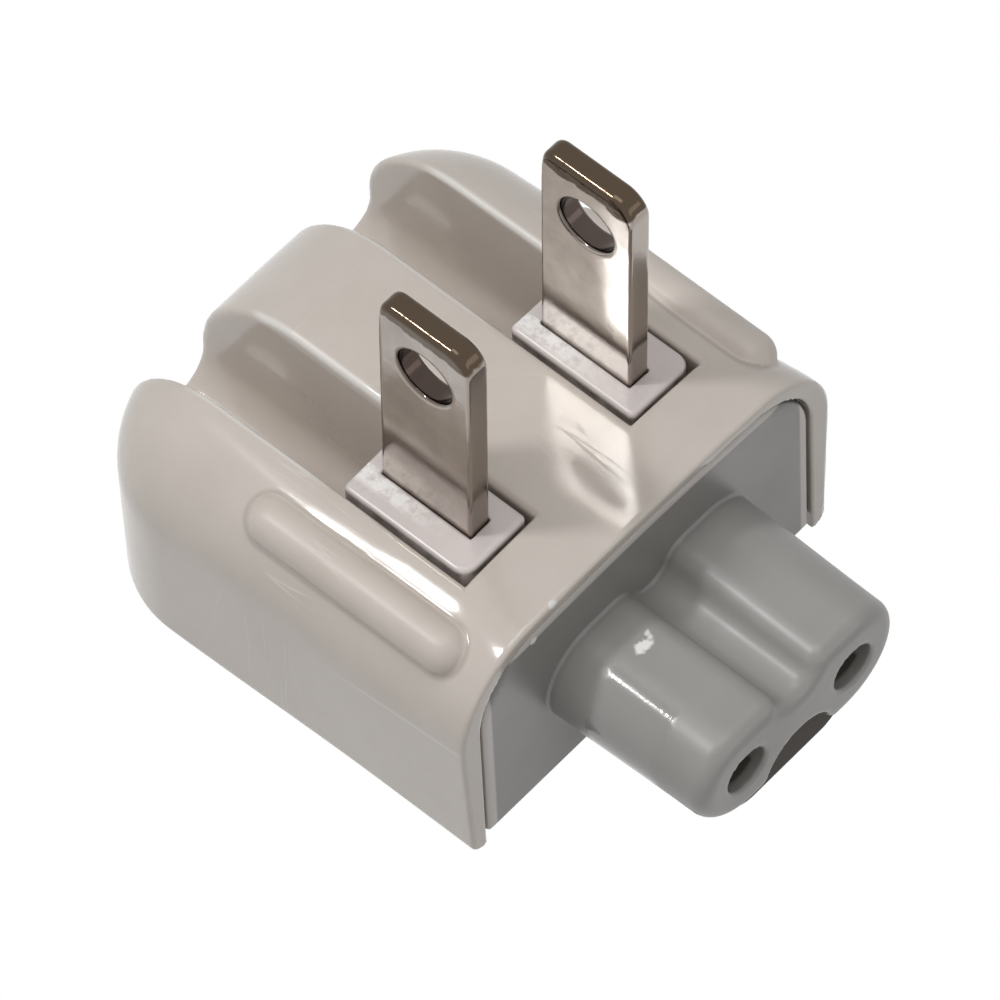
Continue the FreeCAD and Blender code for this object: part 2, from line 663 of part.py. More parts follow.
# Two posts carry the ends of the detent spring.
detent_top = pivot_z - bearing_radius
detent_low = detent_top - S["detent_thickness"]
detent_front = pivot_y - bearing_radius - S["detent_post"]
detent_rear = pivot_y + bearing_radius + S["detent_pad"]
detent_half = S["detent_width"] / 2
cradle_parts.append(box("detent_post_front", -detent_half, detent_half, detent_front,
                        pivot_y - bearing_radius, trough_low - 0.1, detent_low))
cradle_parts.append(box("detent_post_rear", -detent_half, detent_half, pivot_y + bearing_radius,
                        detent_rear, trough_low - 0.1, detent_low))
rivet_y = pivot_y + bearing_radius + S["detent_pad"] / 2
cradle_cuts.append(rod("detent_rivet_way", "Z", S["detent_rivet"] / 2 + S["running_gap"], 0, rivet_y,
                       detent_low - S["detent_grip"] - S["fit_gap"], S["detent_grip"] + 1))
for word, y in (("front", -S["boss_front_y"]), ("rear", S["boss_rear_y"])):
    cradle_cuts.append(rod("screw_way_" + word, "Z", S["screw_diameter"] / 2 + S["fit_gap"], 0, y,
                           cradle_low - 1, S["cradle_thickness"] + 2))
    cradle_cuts.append(rod("screw_seat_" + word, "Z", S["screw_head"] / 2 + S["fit_gap"], 0, y,
                           cradle_low - 1, S["screw_head_height"] + 1 + S["running_gap"]))
cradle = cut("cradle_opened", fuse("cradle_whole", cradle_parts), fuse("cradle_ways", cradle_cuts))
node(cradle, "pivot_cradle")

leaf = box("detent_leaf", -detent_half, detent_half, detent_front, detent_rear, detent_low, detent_top)
leaf = cut("detent_holed", leaf, rod("detent_hole", "Z", S["detent_rivet"] / 2 + S["running_gap"], 0,
                                     rivet_y, detent_low - 1, S["detent_thickness"] + 2))
node(leaf, "detent_spring")
rivet = fuse("detent_rivet_whole", [
    rod("detent_shank", "Z", S["detent_rivet"] / 2, 0, rivet_y, detent_low - S["detent_grip"],
        S["detent_grip"] + S["detent_thickness"]),
    rod("detent_head", "Z", S["detent_rivet"], 0, rivet_y, detent_top, S["rivet_head_height"])])
node(rivet, "detent_rivet")


def cradle_screw(word, y):
    """A self-tapping screw: a flat head in the cradle, a shank and a blunt point in the boss."""
    head_low = cradle_low + S["running_gap"]
    shank_top = head_low + S["screw_length"] - S["screw_diameter"] / 2
    head = rod("screw_head_" + word, "Z", S["screw_head"] / 2, 0, y, head_low, S["screw_head_height"])
    shank = rod("screw_shank_" + word, "Z", S["screw_diameter"] / 2, 0, y, head_low, shank_top - head_low)
    tip = doc.addObject("Part::Cone", "screw_tip_" + word)
    tip.setExpression("Radius1", (S["screw_diameter"] / 2).text)
    tip.setExpression("Radius2", (S["screw_diameter"] / 8).text)
    tip.setExpression("Height", (S["screw_diameter"] / 2).text)
    place(tip, 0, y, shank_top)
    whole = fuse("screw_whole_" + word, [head, shank, tip])
    depth = S["screw_head_height"] / 2
    bar_a = box("screw_cross_a_" + word, -S["screw_head"] / 3, S["screw_head"] / 3,
                y - S["screw_diameter"] / 8, y + S["screw_diameter"] / 8, head_low - 1, head_low + depth)
    bar_b = box("screw_cross_b_" + word, -S["screw_diameter"] / 8, S["screw_diameter"] / 8,
                y - S["screw_head"] / 3, y + S["screw_head"] / 3, head_low - 1, head_low + depth)
    node(cut("screw_done_" + word, whole, fuse("screw_cross_" + word, [bar_a, bar_b])), "cradle_screw_" + word)


cradle_screw("front", -S["boss_front_y"])
cradle_screw("rear", S["boss_rear_y"])


# Current path on each side: sleeve, strip, wiper and rivet.

def sleeve(side, word):
    x = side * socket_x
    start = nose_y + S["mouth_depth"] + S["running_gap"]
    length = flange_face - start
    tube = rod("sleeve_tube_" + word, "Y", S["sleeve_outer"] / 2, x, start, socket_z, length)
    tail = box("sleeve_tail_" + word, x - S["tail_width"] / 2, x + S["tail_width"] / 2,
               start + length - 1, strip_front, socket_z - S["sleeve_outer"] / 2 + 0.05,
               socket_z - S["sleeve_bore"] / 2 + 0.2)
    whole = fuse("sleeve_whole_" + word, [tube, tail])
    bore = rod("sleeve_bore_" + word, "Y", S["sleeve_bore"] / 2, x, start - 1, socket_z,
               strip_front - start + 2)
    slit = box("sleeve_slit_" + word, x - S["sleeve_slit"] / 2, x + S["sleeve_slit"] / 2, start - 1,
               start + length * 0.7, socket_z, socket_z + S["sleeve_outer"])
    node(cut("sleeve_done_" + word, whole, fuse("sleeve_cuts_" + word, [bore, slit])),
         "socket_contact_" + word)


def strip(side, word):
    """Hangs behind the flange, turns under the cradle and ends below the wiper's foot."""
    inner_x = leaf_out + S["running_gap"]
    outer_x = inner_x + S["strip_width"]
    low = cradle_low - S["strip_thickness"]
    drop_in = socket_x - S["strip_neck"] / 2
    spans = [
        (drop_in, drop_in + S["strip_neck"], strip_front, strip_front + S["strip_thickness"],
         low, socket_z + S["sleeve_outer"] / 2),
        (drop_in, outer_x, strip_front, strip_front + S["strip_thickness"], low, cradle_low + 1.2),
        (inner_x, outer_x, strip_front, pivot_y + S["strip_overhang"], low, cradle_low),
    ]
    parts = []
    for index, (x0, x1, y0, y1, z0, z1) in enumerate(spans):
        if side < 0:
            x0, x1 = -x1, -x0
        parts.append(box("strip_%s_%d" % (word, index), x0, x1, y0, y1, z0, z1))
    hole = rod("strip_hole_" + word, "Z", S["rivet_diameter"] / 2 + S["running_gap"],
               side * (inner_x + outer_x) / 2, pivot_y, low - 1, 3)
    node(cut("strip_done_" + word, fuse("strip_whole_" + word, parts), hole), "bus_strip_" + word)


def wiper(side, word):
    """A leaf that rises through the cradle and lies against the blade's root."""
    outer_x = leaf_out + S["running_gap"] + S["strip_width"]
    top = cradle_low - S["strip_thickness"]
    low = top - S["wiper_thickness"]
    spans = [
        (leaf_in, outer_x, low, top),
        (leaf_in, leaf_out, low, pivot_z + S["wiper_top"]),
    ]
    parts = []
    for index, (x0, x1, z0, z1) in enumerate(spans):
        if side < 0:
            x0, x1 = -x1, -x0
        parts.append(box("wiper_%s_%d" % (word, index), x0, x1, pivot_y - S["wiper_width"] / 2,
                         pivot_y + S["wiper_width"] / 2, z0, z1))
    centre = side * (leaf_out + S["running_gap"] + outer_x) / 2
    hole = rod("wiper_hole_" + word, "Z", S["rivet_diameter"] / 2 + S["running_gap"], centre, pivot_y,
               low - 1, 3)
    node(cut("wiper_done_" + word, fuse("wiper_whole_" + word, parts), hole), "wiper_spring_" + word)
    shank = rod("rivet_shank_" + word, "Z", S["rivet_diameter"] / 2, centre, pivot_y,
                low - S["rivet_head_height"], cradle_low - low + S["rivet_head_height"])
    head = rod("rivet_head_" + word, "Z", S["rivet_head"] / 2, centre, pivot_y,
               low - S["rivet_head_height"], S["rivet_head_height"])
    node(fuse("rivet_whole_" + word, [shank, head]), "contact_rivet_" + word)


for side, word in ((-1, "left"), (1, "right")):
    sleeve(side, word)
    strip(side, word)
    wiper(side, word)


# Stud clip: a bent spring that stands in the head space, on both sides of the neck.
clip_legs = []
leg_out = head_half - S["running_gap"]
leg_in = leg_out - S["clip_wire"]
clip_low = sole_top + S["running_gap"]
clip_high = clip_low + S["clip_height"]
clip_end = channel_end - S["running_gap"]
clip_parts = [
    box("clip_leg_left", -leg_out, -leg_in, flange_back, clip_end, clip_low, clip_high),
    box("clip_leg_right", leg_in, leg_out, flange_back, clip_end, clip_low, clip_high),
    box("clip_bridge", -leg_out, leg_out, clip_end - S["clip_wire"], clip_end, clip_low, clip_high),
]
for side, word in ((-1, "left"), (1, "right")):
    bump = rod("clip_bump_" + word, "Z", S["clip_wire"] + S["clip_grip"], side * leg_in,
               (flange_back + channel_end) / 2, clip_low, S["clip_height"])
    window = (leg_in - 2, leg_out) if side > 0 else (-leg_out, -leg_in + 2)
    limit = box("clip_limit_" + word, window[0], window[1], flange_back, clip_end, clip_low, clip_high)
    clip_parts.append(common("clip_dimple_" + word, bump, limit))
node(fuse("clip_whole", clip_parts), "stud_clip")

card_front = strip_front + S["strip_thickness"] + S["fit_gap"]
card = box("card", -tunnel_half, tunnel_half, card_front, channel_end + S["channel_wall"], channel_top,
           channel_top + S["card_thickness"])
node(card, "insulator_card")

doc.recompute()

failed = [item.Name for item in doc.Objects if {"Invalid", "Error"} & set(item.State)]
if failed:
    raise RuntimeError("objects failed: " + ", ".join(failed))
for label, item in nodes.items():
    shape = item.Shape
    if shape.isNull() or not shape.isValid():
        raise RuntimeError(label + " is not a valid shape")
    if len(shape.Solids) != 1:
        raise RuntimeError("%s holds %d solids" % (label, len(shape.Solids)))
for label, item in nodes.items():
    item.Shape.exportStep("parts/" + label + ".step")
    print("%-22s %10.2f mm3" % (label, item.Shape.Volume))
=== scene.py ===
# %% [markdown]
# # A folding wall plug head
#
# The object is the wall plug of a laptop power supply: a white casing as big as a large walnut,
# two flat blades that fold down into grooves, and a grey connector with two sockets. It was made
# as solid CAD first. This notebook loads those solids as a fixed frame and gives every surface
# its finish, then rebuilds the pieces whose real edges are softer than the solids' are.

# %% Load the frame
import functools
import json
import math

import bmesh
import bpy
import numpy as np
from mathutils import Matrix, Vector


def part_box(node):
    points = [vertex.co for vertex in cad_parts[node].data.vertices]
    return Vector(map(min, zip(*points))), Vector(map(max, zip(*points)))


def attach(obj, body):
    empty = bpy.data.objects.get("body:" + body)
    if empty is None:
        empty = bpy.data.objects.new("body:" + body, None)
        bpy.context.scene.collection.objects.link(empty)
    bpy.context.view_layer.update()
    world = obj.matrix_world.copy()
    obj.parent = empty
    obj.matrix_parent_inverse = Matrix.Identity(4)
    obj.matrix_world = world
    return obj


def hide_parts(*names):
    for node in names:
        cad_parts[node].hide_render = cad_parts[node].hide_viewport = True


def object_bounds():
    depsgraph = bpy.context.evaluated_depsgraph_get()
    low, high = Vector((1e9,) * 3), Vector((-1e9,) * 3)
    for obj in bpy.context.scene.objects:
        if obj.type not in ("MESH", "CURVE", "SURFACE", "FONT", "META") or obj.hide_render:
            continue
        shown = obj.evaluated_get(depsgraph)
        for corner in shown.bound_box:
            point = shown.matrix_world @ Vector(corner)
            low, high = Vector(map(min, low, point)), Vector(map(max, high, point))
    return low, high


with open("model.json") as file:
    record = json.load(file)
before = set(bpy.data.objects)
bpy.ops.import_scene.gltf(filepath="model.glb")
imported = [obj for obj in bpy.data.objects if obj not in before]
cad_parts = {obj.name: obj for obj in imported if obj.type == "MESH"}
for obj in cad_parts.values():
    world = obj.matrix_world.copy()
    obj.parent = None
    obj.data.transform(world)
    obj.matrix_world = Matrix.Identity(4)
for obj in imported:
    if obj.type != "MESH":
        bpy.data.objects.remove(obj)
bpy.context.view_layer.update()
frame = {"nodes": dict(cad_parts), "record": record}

MM = 0.001
scene = bpy.context.scene
nodes = frame["nodes"]

# %% [markdown]
# ## Camera
#
# A product photograph is taken from some distance with a long lens, so parallel edges stay almost
# parallel. Three turns and a distance say where the camera stands, and the lens follows from how
# large one millimetre is in the picture. The camera looks down on the outlet face from the left.

# %% Camera
AZIMUTH = math.radians(-45.3698)
ELEVATION = math.radians(56.7316)
ROLL = math.radians(-3.1948)
DISTANCE = 550.0
SIDESTEP = (-0.8210, -4.3284)
LENS_PIXELS, PICTURE_PIXELS, FILM = 10309.264, 1000, 36

right = Vector((math.cos(AZIMUTH), math.sin(AZIMUTH), 0))
back = Vector((math.sin(AZIMUTH) * math.cos(ELEVATION), -math.cos(AZIMUTH) * math.cos(ELEVATION),
               math.sin(ELEVATION)))
up = back.cross(right)
across = math.cos(ROLL) * right + math.sin(ROLL) * up
upward = -math.sin(ROLL) * right + math.cos(ROLL) * up
stand = (back * DISTANCE + across * SIDESTEP[0] + upward * SIDESTEP[1]) * MM

camera_data = bpy.data.cameras.new("camera")
camera_data.sensor_width = FILM
camera_data.lens = LENS_PIXELS / PICTURE_PIXELS * FILM
camera_data.clip_start = 0.01
camera_data.clip_end = 20
camera = bpy.data.objects.new("camera", camera_data)
turn = Matrix((across, upward, back)).transposed().to_4x4()
camera.matrix_world = Matrix.Translation(stand) @ turn
scene.collection.objects.link(camera)
scene.camera = camera
print("lens %.1f mm at %.0f mm" % (camera_data.lens, DISTANCE))

# %% [markdown]
# ## A short way to write node trees
#
# Every finish here is a small network of nodes. `added` adds a node, sets its values and joins its
# inputs in one call, and `Finish` names the usual steps, so each finish below reads like a recipe.

# %% Node helper


def empty_tree(owner):
    owner.use_nodes = True
    owner.node_tree.nodes.clear()
    return owner.node_tree


def fill(tree, socket, value):
    """A socket gets a plain value, or a link from another node's output."""
    if isinstance(value, bpy.types.NodeSocket):
        tree.links.new(value, socket)
    else:
        socket.default_value = value


def added(tree, kind, settings=None, **inputs):
    """A node of one kind; settings are its properties, inputs its sockets by name or number."""
    made = tree.nodes.new("ShaderNode" + kind)
    for key, value in (settings or {}).items():
        setattr(made, key, value)
    for key, value in inputs.items():
        fill(tree, made.inputs[int(key[1:]) if key[0] == "_" else key.replace("_", " ")], value)
    return made


class Finish:
    """A material under construction, with a Principled shader already joined to the output."""

    def __init__(self, name):
        self.material = bpy.data.materials.new(name)
        self.tree = empty_tree(self.material)
        self.shader = self.add("BsdfPrincipled")
        self.add("OutputMaterial", Surface=self.shader.outputs["BSDF"])
        self.where = self.add("TexCoord").outputs["Object"]
        scaled = self.add("VectorMath", {"operation": "SCALE"}, _0=self.where, Scale=1 / MM)
        self.in_mm = scaled.outputs["Vector"]

    def add(self, kind, settings=None, **inputs):
        return added(self.tree, kind, settings, **inputs)

    def set(self, **inputs):
        """The shader's own inputs."""
        for key, value in inputs.items():
            fill(self.tree, self.shader.inputs[key.replace("_", " ")], value)

    def place(self, stretch=(1, 1, 1), turned=(0, 0, 0)):
        """Object coordinates, turned and stretched."""
        made = self.add("Mapping", Vector=self.where)
        made.inputs["Scale"].default_value = stretch
        made.inputs["Rotation"].default_value = [math.radians(angle) for angle in turned]
        return made.outputs["Vector"]

    def noise(self, scale, detail=3.0, rough=0.5, where=None):
        made = self.add("TexNoise", Vector=where or self.where, Scale=scale, Detail=detail, Roughness=rough)
        return made.outputs["Fac"]

    def ramp(self, value, *stops):
        """A colour ramp; each stop is a place from 0 to 1 and a grey or a colour."""
        made = self.add("ValToRGB", Fac=value)
        points = made.color_ramp.elements
        while len(points) < len(stops):
            points.new(0.5)
        for point, (where, shade) in zip(points, stops):
            point.position = where
            point.color = (*shade, 1) if isinstance(shade, tuple) else (shade, shade, shade, 1)
        return made.outputs["Color"]

    def mix(self, share, first, second, blend="MIX"):
        """The first colour where the share is 0 and the second where it is 1."""
        first, second = [(*shade, 1) if isinstance(shade, tuple) else shade for shade in (first, second)]
        kind = {"data_type": "RGBA", "blend_type": blend}
        return self.add("Mix", kind, _0=share, _6=first, _7=second).outputs[2]

    def math(self, operation, first, second=0.0):
        made = self.add("Math", {"operation": operation}, _0=first, _1=second)
        return made.outputs["Value"]

    def product(self, *shares):
        """All shares multiplied: a mask of where every one of them holds."""
        return functools.reduce(lambda one, other: self.math("MULTIPLY", one, other), shares)

    def most(self, *shares):
        """The largest share: a mask of where any of them holds."""
        return functools.reduce(lambda one, other: self.math("MAXIMUM", one, other), shares)

    def off(self, value, centre):
        """How far a value is from a centre, on either side."""
        return self.math("ABSOLUTE", self.math("SUBTRACT", value, centre))

    def distance(self, *sides):
        """The root of the sum of the sides' squares."""
        squares = [self.math("POWER", side, 2.0) for side in sides]
        return self.math("SQRT", functools.reduce(lambda one, other: self.math("ADD", one, other), squares))

    def axes(self):
        """The three object coordinates, in millimetres."""
        made = self.add("SeparateXYZ", Vector=self.in_mm)
        return made.outputs["X"], made.outputs["Y"], made.outputs["Z"]

    def between(self, value, low, high):
        """From 0 at the low value to 1 at the high one."""
        made = self.add("MapRange", Value=value, From_Min=low, From_Max=high)
        return made.outputs["Result"]

    def band(self, value, start, full, fade, end):
        """From 0 to 1 between the first two values, and back to 0 between the last two."""
        return self.product(self.between(value, start, full), self.between(value, end, fade))

    def near(self, place, radius):
        """1 at a place on the object and 0 beyond a radius round it, in millimetres."""
        made = self.add("VectorMath", {"operation": "DISTANCE"}, _0=self.in_mm, _1=place)
        return self.between(made.outputs["Value"], radius, radius * 0.6)

    def bump(self, height, strength, distance):
        made = self.add("Bump", Height=height, Strength=strength, Distance=distance)
        return made.outputs["Normal"]


def wear(piece, material):
    """Every face of a piece takes one finish."""
    piece.data.materials.clear()
    piece.data.materials.append(material)


print("finish helper:", ", ".join(name for name in vars(Finish) if not name.startswith("_")))

# %% [markdown]
# ## Sizes that are needed twice
#
# Shade is painted round a ridge, and a hole has a dark bore, so these finishes and forms use the same
# sizes. All are in millimetres from the crest of the crowned top, midway between the blades.

# %% Shared sizes
CROWN = 130.0
FRONT = -9.3
GROOVE_MID, GROOVE_HALF = 6.6, 2.75
RIDGE_X, RIDGE_Y, RIDGE_Z = 12.3, 0.25, -2.12
RIDGE_HALF, RIDGE_RADIUS = 6.1, 1.46
CREASE_DROP, CREASE_FALL = 6.6, 0.12
BLADE_X, BLADE_THICK, BLADE_WIDE = 6.35, 1.5, 6.35
HOLE_Z, HOLE_RADIUS = 12.3, 1.9
LEAN = 0.034
print("blades", 2 * BLADE_X, "mm apart, ridges", 2 * RIDGE_X, "mm apart, crown radius", CROWN, "mm")

# %% [markdown]
# ## White plastic that has been in a bag
#
# The casing is polished polycarbonate. Years of use have left it slightly yellow-grey, with cloudy
# patches where it is less shiny, and hair-thin scratches. Cloudy patches are slow noise in the
# roughness. A scratch is the thin line where a strongly stretched noise passes its middle value,
# and a mask keeps the scratches to some places: crossing ones on the top and the shoulders, and a
# few upright ones low on the side walls.

# %% Scratches


def hairlines(finish, turned, density, sharp, stretch=(1, 0.05, 1)):
    """Thin lines along one direction: where a strongly stretched noise passes its middle value."""
    lines = finish.noise(density, 2.0, 0.4, finish.place(stretch, turned))
    return finish.ramp(finish.off(lines, 0.5), (0.0, 1.0), (sharp, 0.0))


def crossing_scratches(finish):
    """Hairlines in two directions, in some places and not near the far end."""
    places = finish.ramp(finish.noise(90, 2.0), (0.58, 0.0), (0.72, 0.8))
    first = hairlines(finish, (0, 20, 25), 900, 0.012)
    second = hairlines(finish, (0, -50, 25), 700, 0.01)
    lines = finish.mix(1.0, finish.mix(1.0, first, second, "LIGHTEN"), places, "MULTIPLY")
    _, y, _ = finish.axes()
    return finish.mix(finish.between(y, 10, 13), lines, (0.0, 0.0, 0.0))


def upright_scratches(finish):
    """A few scratches low on the side walls."""
    _, y, z = finish.axes()
    place = finish.product(finish.between(z, -7.5, -9), finish.band(y, 2, 3.5, 8, 9.5))
    lines = hairlines(finish, (24, 0, 0), 620, 0.010, (1, 1, 0.10))
    return finish.mix(1.0, lines, finish.mix(place, (0.0, 0.0, 0.0), (0.5, 0.5, 0.5)), "MULTIPLY")


def white_plastic(name, light, shade, rough, dressed):
    """Cloudy, scratched plastic; dressed is a function that adds a piece's own marks and painted light."""
    finish = Finish(name)
    clouds = finish.noise(160, 4.0, 0.6)
    colour = finish.mix(finish.ramp(clouds, (0.35, 0.0), (0.7, 1.0)), light, shade)
    shine = finish.ramp(clouds, (0.3, rough), (0.75, rough + 0.1))
    colour, shine = dressed(finish, colour, shine)
    lines = finish.mix(1.0, crossing_scratches(finish), upright_scratches(finish), "LIGHTEN")
    finish.set(
        Base_Color=finish.mix(lines, colour, (0.80, 0.78, 0.75)),
        Roughness=finish.mix(lines, shine, (0.5, 0.5, 0.5)),
        Normal=finish.bump(finish.noise(420, 2.0), 0.12, 0.00008),
        IOR=1.55, Subsurface_Weight=0.08, Subsurface_Radius=(1, 0.9, 0.8), Subsurface_Scale=0.0006)
    return finish.material


print("white plastic with two kinds of scratches")

# %% [markdown]
# ### Marks of use, painted highlights and painted shade on the casing
#
# The ridges are dull, and the corner round them is painted darker as shade. The lips of the grooves
# and the crease on each side carry painted highlights as pale lines. The tongue between the grooves
# is dull too, and there is a white speck on the front edge. Each mark is a mask: a coordinate or a
# distance becomes a share from 0 to 1, and shares are multiplied where all of them have to hold.

# %% White casing


def casing_marks(finish, colour, shine):
    """Painted highlights and shade, a white speck and dull places, laid over the plain colour and
    roughness.
    """
    x, y, z = finish.axes()
    wide = finish.math("ABSOLUTE", x)
    edge = finish.off(finish.off(wide, GROOVE_MID), GROOVE_HALF)
    # painted highlight: a pale line along the lip of each groove
    lip_highlight = finish.product(finish.between(edge, 0.42, 0.22), finish.between(z, -1.1, -0.7),
                         finish.between(y, 4.5, 6.5))
    past_end = finish.math("SUBTRACT", finish.off(y, RIDGE_Y), RIDGE_HALF)
    from_axis = finish.distance(finish.math("SUBTRACT", wide, RIDGE_X), finish.math("SUBTRACT", z, RIDGE_Z),
                                finish.math("MAXIMUM", past_end, 0.0))
    ridge = finish.between(from_axis, 1.57, 1.49)
    # painted shade: a darker ring in the corner round each ridge
    ridge_shade = finish.product(finish.band(from_axis, 1.49, 1.57, 1.66, 1.86), 0.45)
    tongue = finish.product(finish.between(finish.math("ADD", x, y), 3.4, 4.2),
                            finish.between(wide, 4, 3.7), finish.between(y, 14, 12))
    # painted highlight: a pale line along the crease on each side
    fall = finish.math("MULTIPLY", finish.math("SUBTRACT", y, FRONT), CREASE_FALL)
    from_crease = finish.off(finish.math("ADD", z, fall), -CREASE_DROP)
    crease = finish.product(finish.between(from_crease, 0.26, 0.05), finish.band(y, -9.1, -8.8, -3, 1),
                            finish.between(wide, 13.8, 14.2))
    speck = finish.near((-7.35, -9.3, -0.25), 0.35)
    # the painted highlights and the white speck share one pale colour
    highlights_and_speck = finish.most(finish.product(lip_highlight, 0.75), finish.product(crease, 0.4), speck)
    colour = finish.mix(highlights_and_speck, colour, (0.88, 0.86, 0.83))
    colour = finish.mix(ridge_shade, colour, (0.40, 0.35, 0.31))
    dull = finish.product(finish.most(ridge, tongue), 0.9)
    return colour, finish.mix(dull, shine, (0.44, 0.44, 0.44))


casing_white = white_plastic("white_casing", (0.68, 0.62, 0.565), (0.63, 0.57, 0.515), 0.09, casing_marks)
print("casing finish:", len(casing_white.node_tree.nodes), "nodes")

# %% [markdown]
# ### The carrier
#
# The carrier is the same plastic, less polished and a little pinker. The worn blades throw a lacy
# light beside their feet, finer than a render of smooth blades can show, so it is painted as a
# strip of paler noise. Shade in the gap round each block is painted as patchy dark colour on the
# blocks' sides, fading with depth.

# %% White carrier


def foot_light(finish, colour):
    """Lacy light that each blade throws on the carrier, in a strip beside its foot."""
    x, y, z = finish.axes()
    right_one = finish.product(finish.math("GREATER_THAN", x, 0.0), 2 * BLADE_X)
    beside = finish.math("SUBTRACT", finish.math("ADD", x, BLADE_X + BLADE_THICK / 2), right_one)
    lace = finish.ramp(finish.noise(1300, 4.0, 0.7), (0.38, 0.0), (0.54, 1.0))
    strip = finish.product(finish.band(beside, -1.3, -0.9, 0, 0.1),
                           finish.between(y, -2.2, 1.2), finish.between(z, -0.8, -0.4), lace)
    return finish.mix(strip, colour, (1.0, 0.98, 0.96))


def carrier_light_and_shade(finish, colour, shine):
    """Painted light at the blades' feet, and painted shade in the gap round each block."""
    x, y, z = finish.axes()
    wide = finish.math("ABSOLUTE", x)
    # painted shade: dark, patchy colour on the blocks' sides in the gap, fading with depth
    flank = finish.most(finish.between(wide, 8.9, 9.05), finish.between(wide, 4.4, 4.25),
                        finish.between(y, -4.4, -4.57))
    patchy = finish.ramp(finish.noise(900, 2.0), (0.30, 0.55), (0.62, 1.0))
    gap_shade = finish.product(flank, patchy, finish.band(z, -2.4, -0.7, -0.6, -0.3), 0.85)
    return finish.mix(gap_shade, foot_light(finish, colour), (0.13, 0.105, 0.09)), shine


carrier_white = white_plastic("white_carrier", (0.74, 0.68, 0.665), (0.69, 0.63, 0.615), 0.22,
                              carrier_light_and_shade)
print("carrier finish:", len(carrier_white.node_tree.nodes), "nodes")

# %% [markdown]
# ## Grey moulding
#
# The connector and the flange are one grey moulding with the faint matt grain of its mould. Very
# fine noise as a bump makes that grain. The flange is painted darker than the barrels, as shade, and
# its border has a painted highlight and a white speck. The left barrel has a polished place and a
# painted glint, and noise gives both their wavy edges. The keel's front, under the arch, is matt
# and painted dark as shade.

# %% Grey moulding


def moulding_marks(finish, colour, shine):
    """Painted shade and highlights, a white speck, polished and matt places, laid over colour and
    roughness.
    """
    x, y, z = finish.axes()
    wide = finish.math("ABSOLUTE", x)
    # painted shade: from the flange back, the grey is darker
    colour = finish.mix(finish.between(y, -9.8, -9.1), colour, (0.235, 0.225, 0.215))
    # a painted highlight along the flange's top and side edges
    crown = finish.distance(x, finish.math("ADD", z, CROWN))
    border_highlight = finish.most(finish.between(crown, 128.3, 128.45), finish.between(wide, 12.35, 12.5))
    border_highlight = finish.product(border_highlight, finish.between(y, -8.8, -9))
    colour = finish.mix(border_highlight, colour, (0.64, 0.60, 0.57))
    speck = finish.near((-8.95, -9.25, -1.9), 0.3)
    waves = finish.product(finish.math("SUBTRACT", finish.noise(700, 3.0, 0.6), 0.5), 2.0)
    along = finish.math("ADD", y, waves)
    polished = finish.product(finish.band(along, -16.8, -16.3, -12.2, -11.8), finish.between(x, -5.1, -5.7))
    shine = finish.mix(polished, shine, (0.11, 0.11, 0.11))
    # a painted glint: a white spot on top of the left barrel
    from_barrel_glint = finish.distance(finish.math("ADD", finish.math("ADD", x, waves), 3.7),
                                 finish.math("ADD", along, 12.3))
    barrel_glint = finish.product(finish.between(from_barrel_glint, 0.6, 0.4), finish.between(z, -6.2, -5.8))
    # the white speck and the painted glint share one colour
    colour = finish.mix(finish.most(speck, barrel_glint), colour, (0.97, 0.97, 0.96))
    # painted shade: the keel's front under the arch is dark, and matt
    keel_shade = finish.product(finish.band(y, -19.45, -19.25, -18.5, -18), finish.between(z, -10, -10.2))
    colour = finish.mix(finish.product(keel_shade, 0.9), colour, (0.06, 0.05, 0.04))
    return colour, finish.mix(keel_shade, shine, (0.95, 0.95, 0.95))


def moulded_plastic(name, light, shade, rough, dressed=None):
    """Plastic with a mould's fine grain, and with marks and painted light where dressed gives them."""
    finish = Finish(name)
    clouds = finish.noise(140, 3.0, 0.6)
    colour = finish.mix(finish.ramp(clouds, (0.3, 0.0), (0.7, 1.0)), light, shade)
    shine = finish.ramp(clouds, (0.3, rough), (0.75, rough + 0.12))
    if dressed:
        colour, shine = dressed(finish, colour, shine)
    grain = finish.noise(5200, 2.0, 0.5)
    finish.set(Base_Color=colour, Roughness=shine, IOR=1.6, Normal=finish.bump(grain, 0.1, 0.00003))
    return finish.material


connector_grey = moulded_plastic("grey_moulding", (0.36, 0.35, 0.34), (0.315, 0.303, 0.29), 0.32,
                                 moulding_marks)
inner_white = moulded_plastic("inner_moulding", (0.62, 0.60, 0.56), (0.56, 0.54, 0.50), 0.5)
card_buff = moulded_plastic("insulator", (0.62, 0.53, 0.33), (0.55, 0.46, 0.27), 0.7)
print("connector finish:", len(connector_grey.node_tree.nodes), "nodes")
